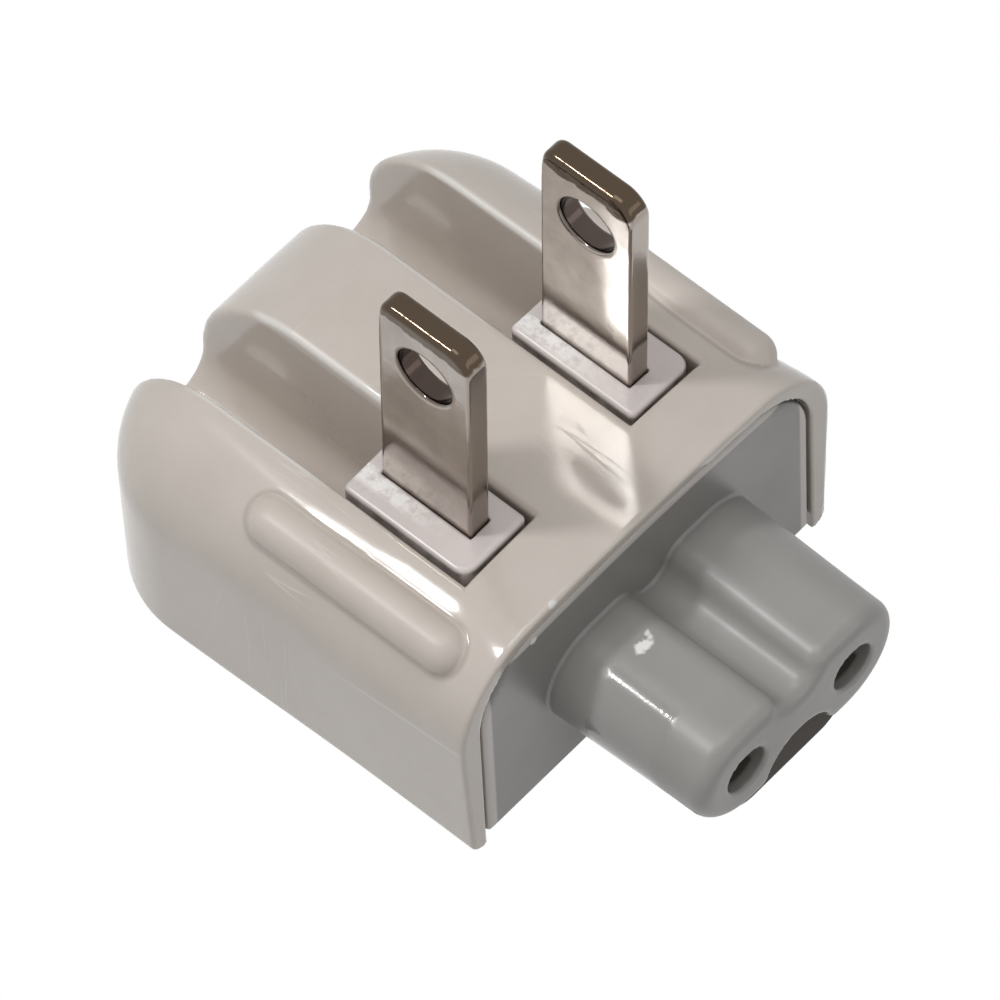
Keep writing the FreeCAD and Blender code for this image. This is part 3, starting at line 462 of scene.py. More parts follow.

# %% [markdown]
# ## Worn nickel
#
# The blades are brass plated with nickel. Outlets have rubbed the plating, so it is brownish and
# smeared along the blade. A metal's colour is its reflection, so the base colour does most of the
# work. Smears are noise stretched along the blade, in the colour and in the roughness. The left
# blade is darker than the right one. The narrow edges and the holes' bores are darkest. The tips
# are worn dark, and they are painted darker still where they mirror the dark room. One wavy strip on
# the right blade's inner face is painted bright, as the window's reflection in the polished top.

# %% Blade metal


def blade_metal(name):
    """Rubbed nickel, darkest on the tip, the narrow edges and in the bore, with painted reflections on the
    tip and one face.
    """
    finish = Finish(name)
    smear = finish.noise(230, 4.0, 0.55, finish.place((1, 1, 0.35)))
    blotch = finish.noise(520, 3.0, 0.6)
    amount = finish.mix(0.35, smear, blotch)
    stain = finish.ramp(amount, (0.36, 0.0), (0.64, 1.0))
    x, y, z = finish.axes()
    left_one = finish.mix(stain, (0.29, 0.252, 0.222), (0.43, 0.385, 0.35))
    right_one = finish.mix(stain, (0.48, 0.44, 0.41), (0.70, 0.66, 0.62))
    is_right = finish.math("GREATER_THAN", x, 0.0)
    colour = finish.mix(is_right, left_one, right_one)
    waves = finish.product(finish.math("SUBTRACT", blotch, 0.5), 1.6)
    waved_z = finish.math("ADD", z, waves)
    across = finish.math("ADD", y, finish.product(z, LEAN))
    # a painted reflection: a bright wavy strip on the right blade's inner face, for the window seen in the
    # polished top
    bright = finish.product(
        finish.between(finish.math("ADD", across, waves), -1.9, -2.1),
        finish.between(waved_z, 3, 3.5), finish.between(z, 12.8, 12),
        is_right, finish.between(x, 6.3, 5.9))
    colour = finish.mix(bright, colour, (0.98, 0.95, 0.91))
    edge = finish.between(finish.math("ABSOLUTE", across), 2.98, 3.1)
    colour = finish.mix(finish.product(edge, 0.9), colour, (0.32, 0.275, 0.24))
    from_hole = finish.distance(across, finish.math("SUBTRACT", z, HOLE_Z))
    bore = finish.between(from_hole, 2.06, 1.9)
    colour = finish.mix(finish.product(bore, 0.95), colour, (0.06, 0.042, 0.035))
    # the tip is worn dark, and painted darker still where it mirrors the dark room
    tip = finish.between(waved_z, 15.35, 15.5)
    finish.set(
        Base_Color=finish.mix(tip, colour, (0.095, 0.07, 0.05)),
        Metallic=1.0,
        Roughness=finish.ramp(amount, (0.35, 0.16), (0.7, 0.07)),
        Normal=finish.bump(blotch, finish.math("ADD", finish.product(tip, 0.7), 0.15), 0.00007),
    )
    return finish.material


blade_nickel = blade_metal("nickel_blade")
print("blade finish:", len(blade_nickel.node_tree.nodes), "nodes")

# %% [markdown]
# ## The other metals, and who wears what
#
# The springs, screws and contacts inside are seldom seen, so one recipe with different colours
# serves them all. The record names a finish for each CAD node, and every node gets it here.

# %% Inner metals
METAL_GRAIN = 260


def plated_metal(name, bright, dull, smooth, rough):
    finish = Finish(name)
    smear = finish.noise(METAL_GRAIN, 5.0, 0.62, finish.place((1, 1, 0.45)))
    blotch = finish.noise(METAL_GRAIN * 3, 4.0, 0.7)
    amount = finish.mix(0.4, smear, blotch)
    finish.set(
        Base_Color=finish.mix(finish.ramp(amount, (0.38, 0.0), (0.66, 1.0)), dull, bright),
        Metallic=1.0,
        Roughness=finish.ramp(amount, (0.35, rough), (0.7, smooth)),
        Normal=finish.bump(blotch, 0.2, 0.00006),
    )
    return finish.material


spring_steel = plated_metal("spring_steel", (0.62, 0.62, 0.61), (0.45, 0.45, 0.44), 0.25, 0.4)
screw_zinc = plated_metal("screw_steel", (0.60, 0.60, 0.58), (0.42, 0.41, 0.39), 0.3, 0.45)
contact_brass = plated_metal("contact_brass", (0.75, 0.56, 0.27), (0.40, 0.22, 0.12), 0.25, 0.45)

finishes = {"white_casing": casing_white, "white_carrier": carrier_white, "grey_moulding": connector_grey,
            "nickel_blade": blade_nickel, "inner_moulding": inner_white, "insulator": card_buff,
            "spring_steel": spring_steel, "screw_steel": screw_zinc, "contact_brass": contact_brass}
for part in frame["record"]["subparts"]:
    wear(nodes[part["node"]], finishes[part["material_slot"]])

# %% [markdown]
# ## The casing as one moulded skin
#
# A real moulding has no knife edges: the mould's corners are polished, so the ridges flow out of
# the shoulders and the lips of the grooves are round. Bevels on a mesh made of triangles tear at
# such places. A distance field doesn't: it is a formula that says how far any point lies from
# the surface, below zero inside. The lower of two fields is both forms together, and the higher
# one is what they share. Either can be joined with a radius. The skin is then drawn where the
# field is zero. The tools below are those formulas, for whole arrays of points at once.

# %% Distance tools
DIAGONAL = 0.7071


def together(*forms):
    """All forms in one."""
    return functools.reduce(np.minimum, forms)


def shared(*forms):
    """What all forms have in common, with sharp edges."""
    return functools.reduce(np.maximum, forms)


def smooth_join(a, b, radius):
    """The union of two forms, with a fillet of about one radius in the corner between them."""
    reach = np.maximum(radius - np.abs(a - b), 0) / radius
    return np.minimum(a, b) - reach ** 2 * radius / 4


def round_meet(a, b, radius):
    """What two forms share, with the edge where they meet rounded by a radius."""
    corner = np.hypot(np.maximum(a + radius, 0), np.maximum(b + radius, 0))
    return np.minimum(np.maximum(a, b), -radius) + corner


def ramp_up(value, start, end):
    """From 0 to 1 between two places, easing in and out."""
    share = np.clip((value - start) / (end - start), 0, 1)
    return share * share * (3 - 2 * share)


def slab(value, low, high):
    return np.maximum(low - value, value - high)


def rod_field(a, b, centre_a, centre_b, radius):
    return np.hypot(a - centre_a, b - centre_b) - radius


def crown_field(x, z):
    """Distance above the crowned top, which is part of a wide cylinder along the y axis."""
    return np.hypot(x, z + CROWN) - CROWN


print("the crown falls by %.2f mm at 14 mm from the middle" % crown_field(14.0, 0.0))

# %% [markdown]
# The skin is drawn with surface nets. Space is divided by lines that stand close together near
# the small roundings and far apart elsewhere. Each cell that the surface passes through gets one
# point, the points of neighbouring cells are joined by four-sided faces, and a few steps along
# the field's slope bring every point exactly onto the surface.

# %% Surface nets
NEAR, SPREAD = 0.35, 0.22


def mirrored(*places):
    """The places on both sides of the middle."""
    return [side * place for side in (-1, 1) for place in places]


def grid_lines(low, high, coarse, fine, places):
    """Lines from low to high: fine ones near the places, growing coarser away from them."""
    lines = [low]
    while lines[-1] < high:
        gap = min(abs(lines[-1] - place) for place in places)
        lines.append(lines[-1] + min(coarse, fine + SPREAD * max(gap - NEAR, 0)))
    return np.array(lines)


def slope(field, points, step=0.004):
    """The field's gradient at each point, from small steps to both sides."""
    gradient = np.empty_like(points)
    for axis in range(3):
        ahead, behind = points.copy(), points.copy()
        ahead[:, axis] += step
        behind[:, axis] -= step
        gradient[:, axis] = (field(*ahead.T) - field(*behind.T)) / (2 * step)
    return gradient


def edge_ends(values, axis):
    """The values at both ends of every grid edge along one axis."""
    head, tail = [slice(None)] * 3, [slice(None)] * 3
    head[axis], tail[axis] = slice(0, -1), slice(1, None)
    return values[tuple(head)], values[tuple(tail)]


def surface_net(field, xs, ys, zs):
    """Points and four-sided faces of the surface where the field is zero."""
    values = field(*np.meshgrid(xs, ys, zs, indexing="ij"))
    shape = np.array(values.shape) - 1
    total = np.zeros((*shape, 3))
    count = np.zeros(shape)
    lines = (xs, ys, zs)
    for axis in range(3):
        first, last = edge_ends(values, axis)
        crossing = (first < 0) != (last < 0)
        where = np.argwhere(crossing)
        share = first[crossing] / (first[crossing] - last[crossing])
        spot = np.stack([lines[k][where[:, k]] for k in range(3)], 1)
        spot[:, axis] += share * np.diff(lines[axis])[where[:, axis]]
        others = [k for k in range(3) if k != axis]
        for shift in ((0, 0), (0, 1), (1, 0), (1, 1)):
            cell = where.copy()
            cell[:, others] -= shift
            good = np.all((cell >= 0) & (cell < shape), 1)
            np.add.at(total, tuple(cell[good].T), spot[good])
            np.add.at(count, tuple(cell[good].T), 1)
    used = count > 0
    number = np.full(shape, -1)
    number[used] = np.arange(used.sum())
    points = total[used] / count[used][:, None]
    faces = []
    for axis in range(3):
        first, last = edge_ends(values < 0, axis)
        a, b = [(1, 2), (2, 0), (0, 1)][axis]
        for found, order in ((first & ~last, (0, 1, 2, 3)), (~first & last, (3, 2, 1, 0))):
            where = np.argwhere(found)
            where = where[(where[:, a] > 0) & (where[:, b] > 0)]
            where = where[(where[:, a] < shape[a]) & (where[:, b] < shape[b])]
            corners = []
            for shift in ((1, 1), (0, 1), (0, 0), (1, 0)):
                cell = where.copy()
                cell[:, (a, b)] -= shift
                corners.append(number[tuple(cell.T)])
            faces.append(np.stack([corners[k] for k in order], 1))
    return points, np.concatenate(faces)


def moulded(name, field, xs, ys, zs, material, steps=4):
    """A piece drawn from a distance field in millimetres and brought onto it in a few steps."""
    points, faces = surface_net(field, xs, ys, zs)
    reach = 0.5 * min(np.diff(xs).min(), np.diff(ys).min(), np.diff(zs).min())
    for _ in range(steps):
        gradient = slope(field, points)
        steepness = np.maximum((gradient ** 2).sum(1), 0.2)
        move = gradient * (field(*points.T) / steepness)[:, None]
        far = np.linalg.norm(move, axis=1)
        move *= np.minimum(1, reach / np.maximum(far, 1e-9))[:, None]
        points = points - move
    mesh = bpy.data.meshes.new(name)
    mesh.from_pydata((points * MM).tolist(), [], faces.tolist())
    mesh.validate()
    mesh.polygons.foreach_set("use_smooth", [True] * len(mesh.polygons))
    piece = bpy.data.objects.new(name, mesh)
    scene.collection.objects.link(piece)
    wear(piece, material)
    print(name, len(points), "points", 2 * len(faces), "triangles")
    return piece


print("near an edge at 1:", grid_lines(0, 2, 0.6, 0.15, (1,)).round(2))

# %% [markdown]
# Now the casing itself, with its sizes in millimetres. The outer form is the crown, the plan
# outline and the front plane, met with roundings. The shoulder's rounding grows towards the far
# end, beside the ridges and at the end of the tongue between the grooves. The walls lean in a
# little under a low crease on each side. A slim ridge like a grain of rice sits on each shoulder.

# %% Outer form
HALF_WIDTH, BACK, PLAN_CORNER = 14.8, 20.0, 7.2
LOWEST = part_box("outer_shell")[0][2] / MM
WALL_LEAN = 0.04
SHOULDER, SHOULDER_FAR, SHOULDER_LOCAL = 5.5, 1.5, 0.9
RIDGE_FILLET, FOOT_ROUND, FRONT_ROUND = 0.2, 0.8, 0.22


def plan_field(x, y, half, back, corner):
    """Distance from an outline that is straight at the sides and far end and runs on forward."""
    a = np.abs(x) - half + corner
    b = y - back + corner
    return np.hypot(np.maximum(a, 0), np.maximum(b, 0)) + np.minimum(np.maximum(a, b), 0) - corner


def casing_body(x, y, z):
    crease = CREASE_DROP + CREASE_FALL * (y - FRONT)
    lean = WALL_LEAN * np.maximum(-z - crease, 0) * (1 - ramp_up(y, -2, 15))
    shoulder = SHOULDER + SHOULDER_FAR * ramp_up(y, 2, 19)
    shoulder = shoulder + SHOULDER_LOCAL * ramp_up(y, -9, -5) * (1 - ramp_up(y, -2, 5))
    shoulder = shoulder + SHOULDER_LOCAL * ramp_up(-np.abs(x), -6.5, -3.8) * ramp_up(y, 8, 14)
    plan = plan_field(x, y, HALF_WIDTH, BACK, PLAN_CORNER) + lean
    return round_meet(crown_field(x, z), plan, shoulder)


def ridge_field(x, y, z):
    """A capsule along each shoulder."""
    dx, dz = np.abs(x) - RIDGE_X, z - RIDGE_Z
    dy = np.maximum(np.abs(y - RIDGE_Y) - RIDGE_HALF, 0)
    return np.sqrt(dx ** 2 + dy ** 2 + dz ** 2) - RIDGE_RADIUS


def casing_outside(x, y, z):
    outside = smooth_join(casing_body(x, y, z), ridge_field(x, y, z), RIDGE_FILLET)
    outside = round_meet(outside, LOWEST - z, FOOT_ROUND)
    return round_meet(outside, FRONT - y, FRONT_ROUND)


print("casing %.1f mm wide, foot at %.2f mm" % (2 * HALF_WIDTH, LOWEST))

# %% [markdown]
# Inside, the casing is hollow and open in front, where the connector's flange sits. Two bosses for
# screws hang from the top. Both grooves, with the large fillets of their floors, and the swing pits
# in front of them are cut from the solid, and so is the way in which the carrier's shaft turns.

# %% Inner forms
CHAMBER_HALF, CHAMBER_TOP = 13.35, -1.77
CHAMBER_FRONT, CHAMBER_BACK, CHAMBER_CUT = -7.6, 18.55, 4.2
MOUTH_DROP, MOUTH_CORNER, MOUTH_BACK = 0.75, 4.6, -7.5
PIT_FRONT, PIT_BACK, PIT_TOP = -4.8, 5.52, -6.0
GROOVE_FLOOR, GROOVE_ROUND, LIP_ROUND = -10.27, 2.3, 0.42
TROUGH_LOW, TROUGH_WALL, TROUGH_FRONT = -11.27, 1.0, -5.8
BOSSES, BOSS_TOP = ((-5.4, 1.55), (9.5, 2.2)), -1
PILOT_RADIUS, PILOT_TOP = 0.85, -3.9
PIVOT_Y, PIVOT_Z = -1.2, -3.3
BEARING, SHAFT_WAY = 1.75, 4.35


def groove_distance(x):
    return np.abs(np.abs(x) - GROOVE_MID) - GROOVE_HALF


def groove_field(x, y, z):
    """Both grooves and the swing pits."""
    across = groove_distance(x)
    channel = round_meet(np.maximum(across, PIT_FRONT - y), GROOVE_FLOOR - z, GROOVE_ROUND)
    return np.minimum(channel, shared(across, slab(y, PIT_FRONT, PIT_BACK), z - PIT_TOP))


def hollow_field(x, y, z):
    """The chamber, a box whose upper and far edges are cut at 45 degrees, and its open mouth."""
    wide, top, far = np.abs(x) - CHAMBER_HALF, z - CHAMBER_TOP, y - CHAMBER_BACK
    over = [np.maximum(side + CHAMBER_CUT, 0) for side in (wide, top, far)]
    cuts = [(over[a] + over[b] - CHAMBER_CUT) * DIAGONAL for a, b in ((0, 1), (0, 2), (1, 2))]
    chamber = shared(wide, top, far, CHAMBER_FRONT - y, *cuts)
    mouth = round_meet(crown_field(x, z) + MOUTH_DROP, wide, MOUTH_CORNER)
    return np.minimum(chamber, np.maximum(mouth, y - MOUTH_BACK))


def inner_walls(x, y, z):
    """The walls round the grooves and the bosses."""
    trough = shared(groove_distance(x) - TROUGH_WALL, slab(z, TROUGH_LOW, 0), TROUGH_FRONT - y)
    bosses = together(*(rod_field(x, y, 0, middle, radius) for middle, radius in BOSSES))
    return np.minimum(trough, np.maximum(bosses, slab(z, TROUGH_LOW, BOSS_TOP)))


def shaft_and_pilots(x, y, z):
    """The shaft's way, open downwards, and the screws' pilot holes."""
    below = np.maximum(slab(y, PIVOT_Y - BEARING, PIVOT_Y + BEARING), z - PIVOT_Z)
    shaft = np.minimum(rod_field(y, z, PIVOT_Y, PIVOT_Z, BEARING), below)
    pilots = together(*(rod_field(x, y, 0, middle, PILOT_RADIUS) for middle, _ in BOSSES))
    return np.minimum(np.maximum(shaft, np.abs(x) - SHAFT_WAY), np.maximum(pilots, z - PILOT_TOP))


def casing_field(x, y, z):
    outside = casing_outside(x, y, z)
    inside = np.maximum(inner_walls(x, y, z), outside)
    body = np.minimum(np.maximum(outside, -hollow_field(x, y, z)), inside)
    body = round_meet(body, -groove_field(x, y, z), LIP_ROUND)
    return np.maximum(body, -shaft_and_pilots(x, y, z))


print("grooves %.1f mm wide, %.2f mm deep" % (2 * GROOVE_HALF, -GROOVE_FLOOR))

# %% Casing skin
xs = grid_lines(-15.2, 15.2, 0.62, 0.15, mirrored(3.85, 9.35, 11.1, 13.6, 14.8))
ys = grid_lines(-9.6, 20.4, 0.62, 0.15, (-9.3, -7.1, -4.8, 5.52, 7.4))
zs = grid_lines(LOWEST - 0.4, 0.4, 0.62, 0.15, (LOWEST, -10.27, -2.6, -1.4, -0.2))
casing = moulded("casing_skin", casing_field, xs, ys, zs, casing_white)
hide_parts("outer_shell")
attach(casing, "housing")

# %% [markdown]
# ## Blades
#
# A blade is stamped from strip, so its edges are slightly round, and its tip is rounder still. The
# front corner of the tip has a larger radius than the other one. The hole's rim is pressed down a
# little. Both blades are bent two degrees forward from use. The same tools draw them, one piece
# for each side.

# %% Blades
BLADE_TOP, BLADE_ROOT = 16.5, -5.6
TIP_CORNER, TIP_CORNER_FRONT = 0.8, 0.7
EDGE_ROUND, TIP_ROUND, RIM_ROUND = 0.12, 0.28, 0.2


def blade_field(x, y, z):
    y = y + LEAN * np.maximum(z, 0)
    across = np.abs(np.abs(x) - BLADE_X) - BLADE_THICK / 2
    corner = TIP_CORNER + TIP_CORNER_FRONT * ramp_up(-y, -0.5, 0.5)
    a = np.abs(y) - BLADE_WIDE / 2 + corner
    b = z - BLADE_TOP + corner
    outline = np.hypot(np.maximum(a, 0), np.maximum(b, 0)) + np.minimum(np.maximum(a, b), 0) - corner
    worn = EDGE_ROUND + TIP_ROUND * ramp_up(z, 14.6, 16.3)
    bar = round_meet(across, outline, worn)
    hole = rod_field(y, z, 0, HOLE_Z, HOLE_RADIUS)
    return np.maximum(round_meet(bar, -hole, RIM_ROUND), BLADE_ROOT - z)


ys = grid_lines(-4.1, 3.5, 0.4, 0.12, (-3.65, -3.3, -1.9, -1.3, -0.5, 0.5, 1.3, 1.9, 3.1))
zs = grid_lines(-5.9, 16.8, 0.6, 0.13, (-5.6, 10.4, 11.0, 12.3, 13.6, 14.2, 15.6, 16.1, 16.5))
for side, word in ((-1, "left"), (1, "right")):
    middle = side * BLADE_X
    xs = grid_lines(middle - 1, middle + 1, 0.3, 0.1, (middle - 0.75, middle + 0.75))
    blade = moulded("blade_skin_" + word, blade_field, xs, ys, zs, blade_nickel)
    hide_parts("blade_" + word)
    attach(blade, "blades")

# %% [markdown]
# ## Carrier
#
# Both pivot blocks and the shaft between them are one moulding. The top is crowned like the
# casing's, the edges are soft, and the outer front corners are rounder than the rest. Each block
# rolls on a drum round the pivot when the blades fold. Slots hold the blades' roots and leave room
# for the springs that touch them.

# %% Carrier
BLOCK_IN, BLOCK_OUT = 4.2, 9.1
BLOCK_FRONT, BLOCK_BACK, BLOCK_LOW = -4.62, 4.25, -6.6
BLOCK_CORNER, OUTER_CORNER, TOP_ROUND = 0.35, 0.6, 0.28
DRUM, SHAFT, SHAFT_FLAT, FLAT_HALF = 3.3, 1.7, 1.45, 1.4
SLOT_PLAY = 0.06
WIPER_X, WIPER_FRONT, WIPER_TOP = 7.1, -2.1, -2.4
FAR_INSIDE = -9


def carrier_field(x, y, z):
    corner = BLOCK_CORNER + OUTER_CORNER * ramp_up(np.abs(x), 6.9, 8.3) * ramp_up(-y, 1.0, 3.5)
    plan = round_meet(slab(np.abs(x), BLOCK_IN, BLOCK_OUT), slab(y, BLOCK_FRONT, BLOCK_BACK), corner)
    block = round_meet(plan, crown_field(x, z), TOP_ROUND)
    low_front = (y < PIVOT_Y) & (z < PIVOT_Z)
    drum = np.where(low_front, rod_field(y, z, PIVOT_Y, PIVOT_Z, DRUM), FAR_INSIDE)
    block = shared(block, BLOCK_LOW - z, drum)
    shaft = np.maximum(rod_field(y, z, PIVOT_Y, PIVOT_Z, SHAFT), np.abs(x) - BLOCK_IN - 0.1)
    flats = np.minimum(z - PIVOT_Z + SHAFT_FLAT, PIVOT_Y + SHAFT_FLAT - y)
    shaft = np.maximum(shaft, -np.maximum(np.abs(x) - FLAT_HALF, flats))
    solid = np.minimum(block, shaft)
    root_way = np.maximum(np.abs(np.abs(x) - BLADE_X) - BLADE_THICK / 2, np.abs(y) - BLADE_WIDE / 2)
    root_way = np.maximum(root_way - SLOT_PLAY * ramp_up(z, -0.9, -0.7), BLADE_ROOT - z)
    wiper_way = shared(WIPER_X - np.abs(x), WIPER_FRONT - y, z - WIPER_TOP)
    return np.maximum(solid, -np.minimum(root_way, wiper_way))


xs = grid_lines(-9.4, 9.4, 0.45, 0.12, mirrored(1.4, 4.2, 5.6, 7.1, 8.4, 9.1))
ys = grid_lines(-4.9, 4.6, 0.4, 0.12, (-4.62, -3.9, -3.175, 0.25, 3.175, 4.25))
zs = grid_lines(-6.9, 0.3, 0.4, 0.1, (-6.6, -5.6, -2.4, -0.8, -0.15))
carrier = moulded("carrier_skin", carrier_field, xs, ys, zs, carrier_white)
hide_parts("blade_carrier")
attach(carrier, "blades")

# %% [markdown]
# ## Stud clip
#
# The clip that grips the power supply's stud is a strip of spring steel, bent round the end of its
# channel and pinched in the middle. It follows a path, so a few geometry nodes make it: the path's
# corners are rounded, and a rectangle is swept along it. The result is made a plain mesh.

# %% Swept strip


def swept_strip():
    """A node group that rounds a path's corners and sweeps a rectangle along it."""
    group = bpy.data.node_groups.new("bent_strip", "GeometryNodeTree")
    socket = group.interface.new_socket
    socket("Geometry", in_out="INPUT", socket_type="NodeSocketGeometry")
    for title in ("Thickness", "Height", "Bend radius"):
        socket(title, in_out="INPUT", socket_type="NodeSocketFloat")
    socket("Material", in_out="INPUT", socket_type="NodeSocketMaterial")
    socket("Geometry", in_out="OUTPUT", socket_type="NodeSocketGeometry")
    node = {}
    for title, kind in (("given", "NodeGroupInput"), ("path", "GeometryNodeMeshToCurve"),
                        ("bend", "GeometryNodeFilletCurve"), ("upright", "GeometryNodeSetCurveNormal"),
                        ("profile", "GeometryNodeCurvePrimitiveQuadrilateral"),
                        ("sweep", "GeometryNodeCurveToMesh"), ("coat", "GeometryNodeSetMaterial"),
                        ("result", "NodeGroupOutput")):
        node[title] = group.nodes.new(kind)
    node["bend"].mode = "POLY"
    node["upright"].mode = "Z_UP"
    node["bend"].inputs["Count"].default_value = 6
    node["sweep"].inputs["Fill Caps"].default_value = True
    for start, out, end, into in (
            ("given", "Geometry", "path", "Mesh"), ("path", "Curve", "bend", "Curve"),
            ("given", "Bend radius", "bend", "Radius"), ("bend", "Curve", "upright", "Curve"),
            ("given", "Thickness", "profile", "Width"), ("given", "Height", "profile", "Height"),
            ("upright", "Curve", "sweep", "Curve"), ("profile", "Curve", "sweep", "Profile Curve"),
            ("sweep", "Mesh", "coat", "Geometry"), ("given", "Material", "coat", "Material"),
            ("coat", "Geometry", "result", "Geometry")):
        group.links.new(node[start].outputs[out], node[end].inputs[into])
    return group


strip_group = swept_strip()
print("node group:", strip_group.name, "with", len(strip_group.nodes), "nodes")

# %% Stud clip


def baked(name, piece):
    """The piece's evaluated mesh as a plain object, with its doubled points merged."""
    mesh = bpy.data.meshes.new_from_object(piece.evaluated_get(bpy.context.evaluated_depsgraph_get()))
    bpy.data.objects.remove(piece)
    made = bmesh.new()
    made.from_mesh(mesh)
    bmesh.ops.remove_doubles(made, verts=made.verts, dist=1e-6)
    bmesh.ops.recalc_face_normals(made, faces=made.faces)
    made.to_mesh(mesh)
    made.free()
    mesh.name = name
    plain = bpy.data.objects.new(name, mesh)
    scene.collection.objects.link(plain)
    return plain


CLIP_LEG, CLIP_Z, CLIP_START, CLIP_END = 3.0, -14.5, -7.65, 4.45
PINCH_Y, PINCH_HALF, PINCH_DEPTH = -1.45, 1.3, 0.5
STRIP_THICK, STRIP_HIGH, STRIP_BEND = 0.5, 0.8, 0.7

half = [(CLIP_LEG, CLIP_START), (CLIP_LEG, PINCH_Y - PINCH_HALF), (CLIP_LEG - PINCH_DEPTH, PINCH_Y),
        (CLIP_LEG, PINCH_Y + PINCH_HALF), (CLIP_LEG, CLIP_END)]
path = half + [(-x, y) for x, y in reversed(half)]
mesh = bpy.data.meshes.new("clip_path")
mesh.from_pydata([(x * MM, y * MM, CLIP_Z * MM) for x, y in path],
                 [(k, k + 1) for k in range(len(path) - 1)], [])
route = bpy.data.objects.new("clip_path", mesh)
scene.collection.objects.link(route)
bender = route.modifiers.new("bent_strip", "NODES")
bender.node_group = strip_group
items = strip_group.interface.items_tree
sockets = {item.name: item.identifier for item in items if item.in_out == "INPUT"}
bender[sockets["Thickness"]] = STRIP_THICK * MM
bender[sockets["Height"]] = STRIP_HIGH * MM
bender[sockets["Bend radius"]] = STRIP_BEND * MM
bender[sockets["Material"]] = spring_steel
bpy.context.view_layer.update()
clip = baked("clip_strip", route)
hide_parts("stud_clip")
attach(clip, "housing")
corners = np.array([vertex.co for vertex in clip.data.vertices]) / MM
print("clip from", corners.min(0).round(2), "to", corners.max(0).round(2))

# %% [markdown]
# ## Connector
#
# The grey moulding is drawn in one field too. Two barrels with a soft valley between them grow a
# little towards the flange. A broad keel runs under them, set back a little behind a shallow arch
# in the nose. The flange follows the crown a millimetre below it. Behind it lie the sole plate and
# the channel for the power supply's stud.

# %% Barrels and flange
NOSE, FLANGE_FRONT, FLANGE_BACK = -20.1, -9.25, -7.65
BARREL_OUT, BARREL_TOP, BARREL_LOW = 8.0, -5.5, -12.95
BARREL_ROUND, BARREL_BELLY, NOSE_ROUND = 3.3, 4.2, 1.0
DRAFT = 0.1
VALLEY_HALF, VALLEY_Z, VALLEY_SLOPE, VALLEY_COSINE, VALLEY_ROUND = 0.9, -7.0, 0.667, 0.832, 0.6
ARCH_RADIUS, ARCH_Z, ARCH_BACK, ARCH_ROUND = 2.7, -12.9, -19.0, 0.3
KEEL_HALF, KEEL_TOP, KEEL_LOW, KEEL_FRONT = 5.0, -9.5, -14.85, -19.15
KEEL_ROUND, KEEL_EDGE, KEEL_JOIN = 2.3, 0.4, 0.12
FLANGE_DROP, FLANGE_HALF, FLANGE_CORNER, FLANGE_EDGE = 1.05, 13.1, 4.3, 0.3


def barrel_field(x, y, z):
    """Both barrels, the valley between them, the arch in the nose and the keel."""
    wide = np.abs(x)
    grown = DRAFT - 2 * DRAFT * ramp_up(y, NOSE, FLANGE_FRONT)
    section = round_meet(wide - BARREL_OUT, z - BARREL_TOP, BARREL_ROUND)
    section = round_meet(section, BARREL_LOW - z, BARREL_BELLY) + grown
    wall = (wide - VALLEY_HALF - (z - VALLEY_Z) * VALLEY_SLOPE) * VALLEY_COSINE
    valley = round_meet(wall, VALLEY_Z - z, VALLEY_ROUND)
    body = round_meet(section, -valley, VALLEY_ROUND)
    body = round_meet(body, NOSE - y, NOSE_ROUND)
    arch = np.minimum(rod_field(x, z, 0, ARCH_Z, ARCH_RADIUS), np.maximum(wide - ARCH_RADIUS, z - ARCH_Z))
    body = round_meet(body, -np.maximum(arch, y - ARCH_BACK), ARCH_ROUND)
    keel = round_meet(np.maximum(wide - KEEL_HALF, z - KEEL_TOP), KEEL_LOW - z, KEEL_ROUND)
    keel = round_meet(keel, KEEL_FRONT - y, KEEL_EDGE)
    return np.maximum(smooth_join(body, keel, KEEL_JOIN), y - FLANGE_BACK)


def flange_field(x, y, z):
    outline = round_meet(crown_field(x, z) + FLANGE_DROP, np.abs(x) - FLANGE_HALF, FLANGE_CORNER)
    outline = round_meet(outline, FLANGE_FRONT - y, FLANGE_EDGE)
    return shared(outline, y - FLANGE_BACK, SOLE_LOW - z)


print("connector reaches", -NOSE, "mm forward of the blades")

# %% Sole plate, channel and sockets
SOLE_LOW, SOLE_TOP, SOLE_HALF, SOLE_FRONT, SOLE_BACK = -16.15, -14.95, 13.15, -8.0, 18.35
CHANNEL_HALF, CHANNEL_BACK, CHANNEL_LOW, CHANNEL_TOP = 4.05, 5.5, -15.5, -12.9
WAY_FRONT, WAY_BACK = -9.3, 4.75
HEAD_HALF, HEAD_TOP, NECK_HALF, NECK_TOP = 3.3, -13.65, 2.2, -14.5
SOCKET_X, SOCKET_Z = 4.3, -9.2
MOUTH_RADIUS, MOUTH_DEPTH, MOUTH_ROUND = 1.5, -17, 0.15
SLEEVE_RADIUS, SLEEVE_FRONT = 1.75, -18.1
FLANGE_FILLET = 0.15


def sole_field(x, y, z):
    """The plate that closes the casing from below, with its far corners cut, and the channel's walls."""
    wide, far = np.abs(x) - SOLE_HALF, y - SOLE_BACK
    plate = shared(wide, slab(y, SOLE_FRONT, SOLE_BACK), slab(z, SOLE_LOW, SOLE_TOP))
    plate = np.maximum(plate, (wide + far + CHAMBER_CUT) * DIAGONAL)
    channel = shared(np.abs(x) - CHANNEL_HALF, slab(y, SOLE_FRONT, CHANNEL_BACK),
                     slab(z, CHANNEL_LOW, CHANNEL_TOP))
    return np.minimum(plate, channel)


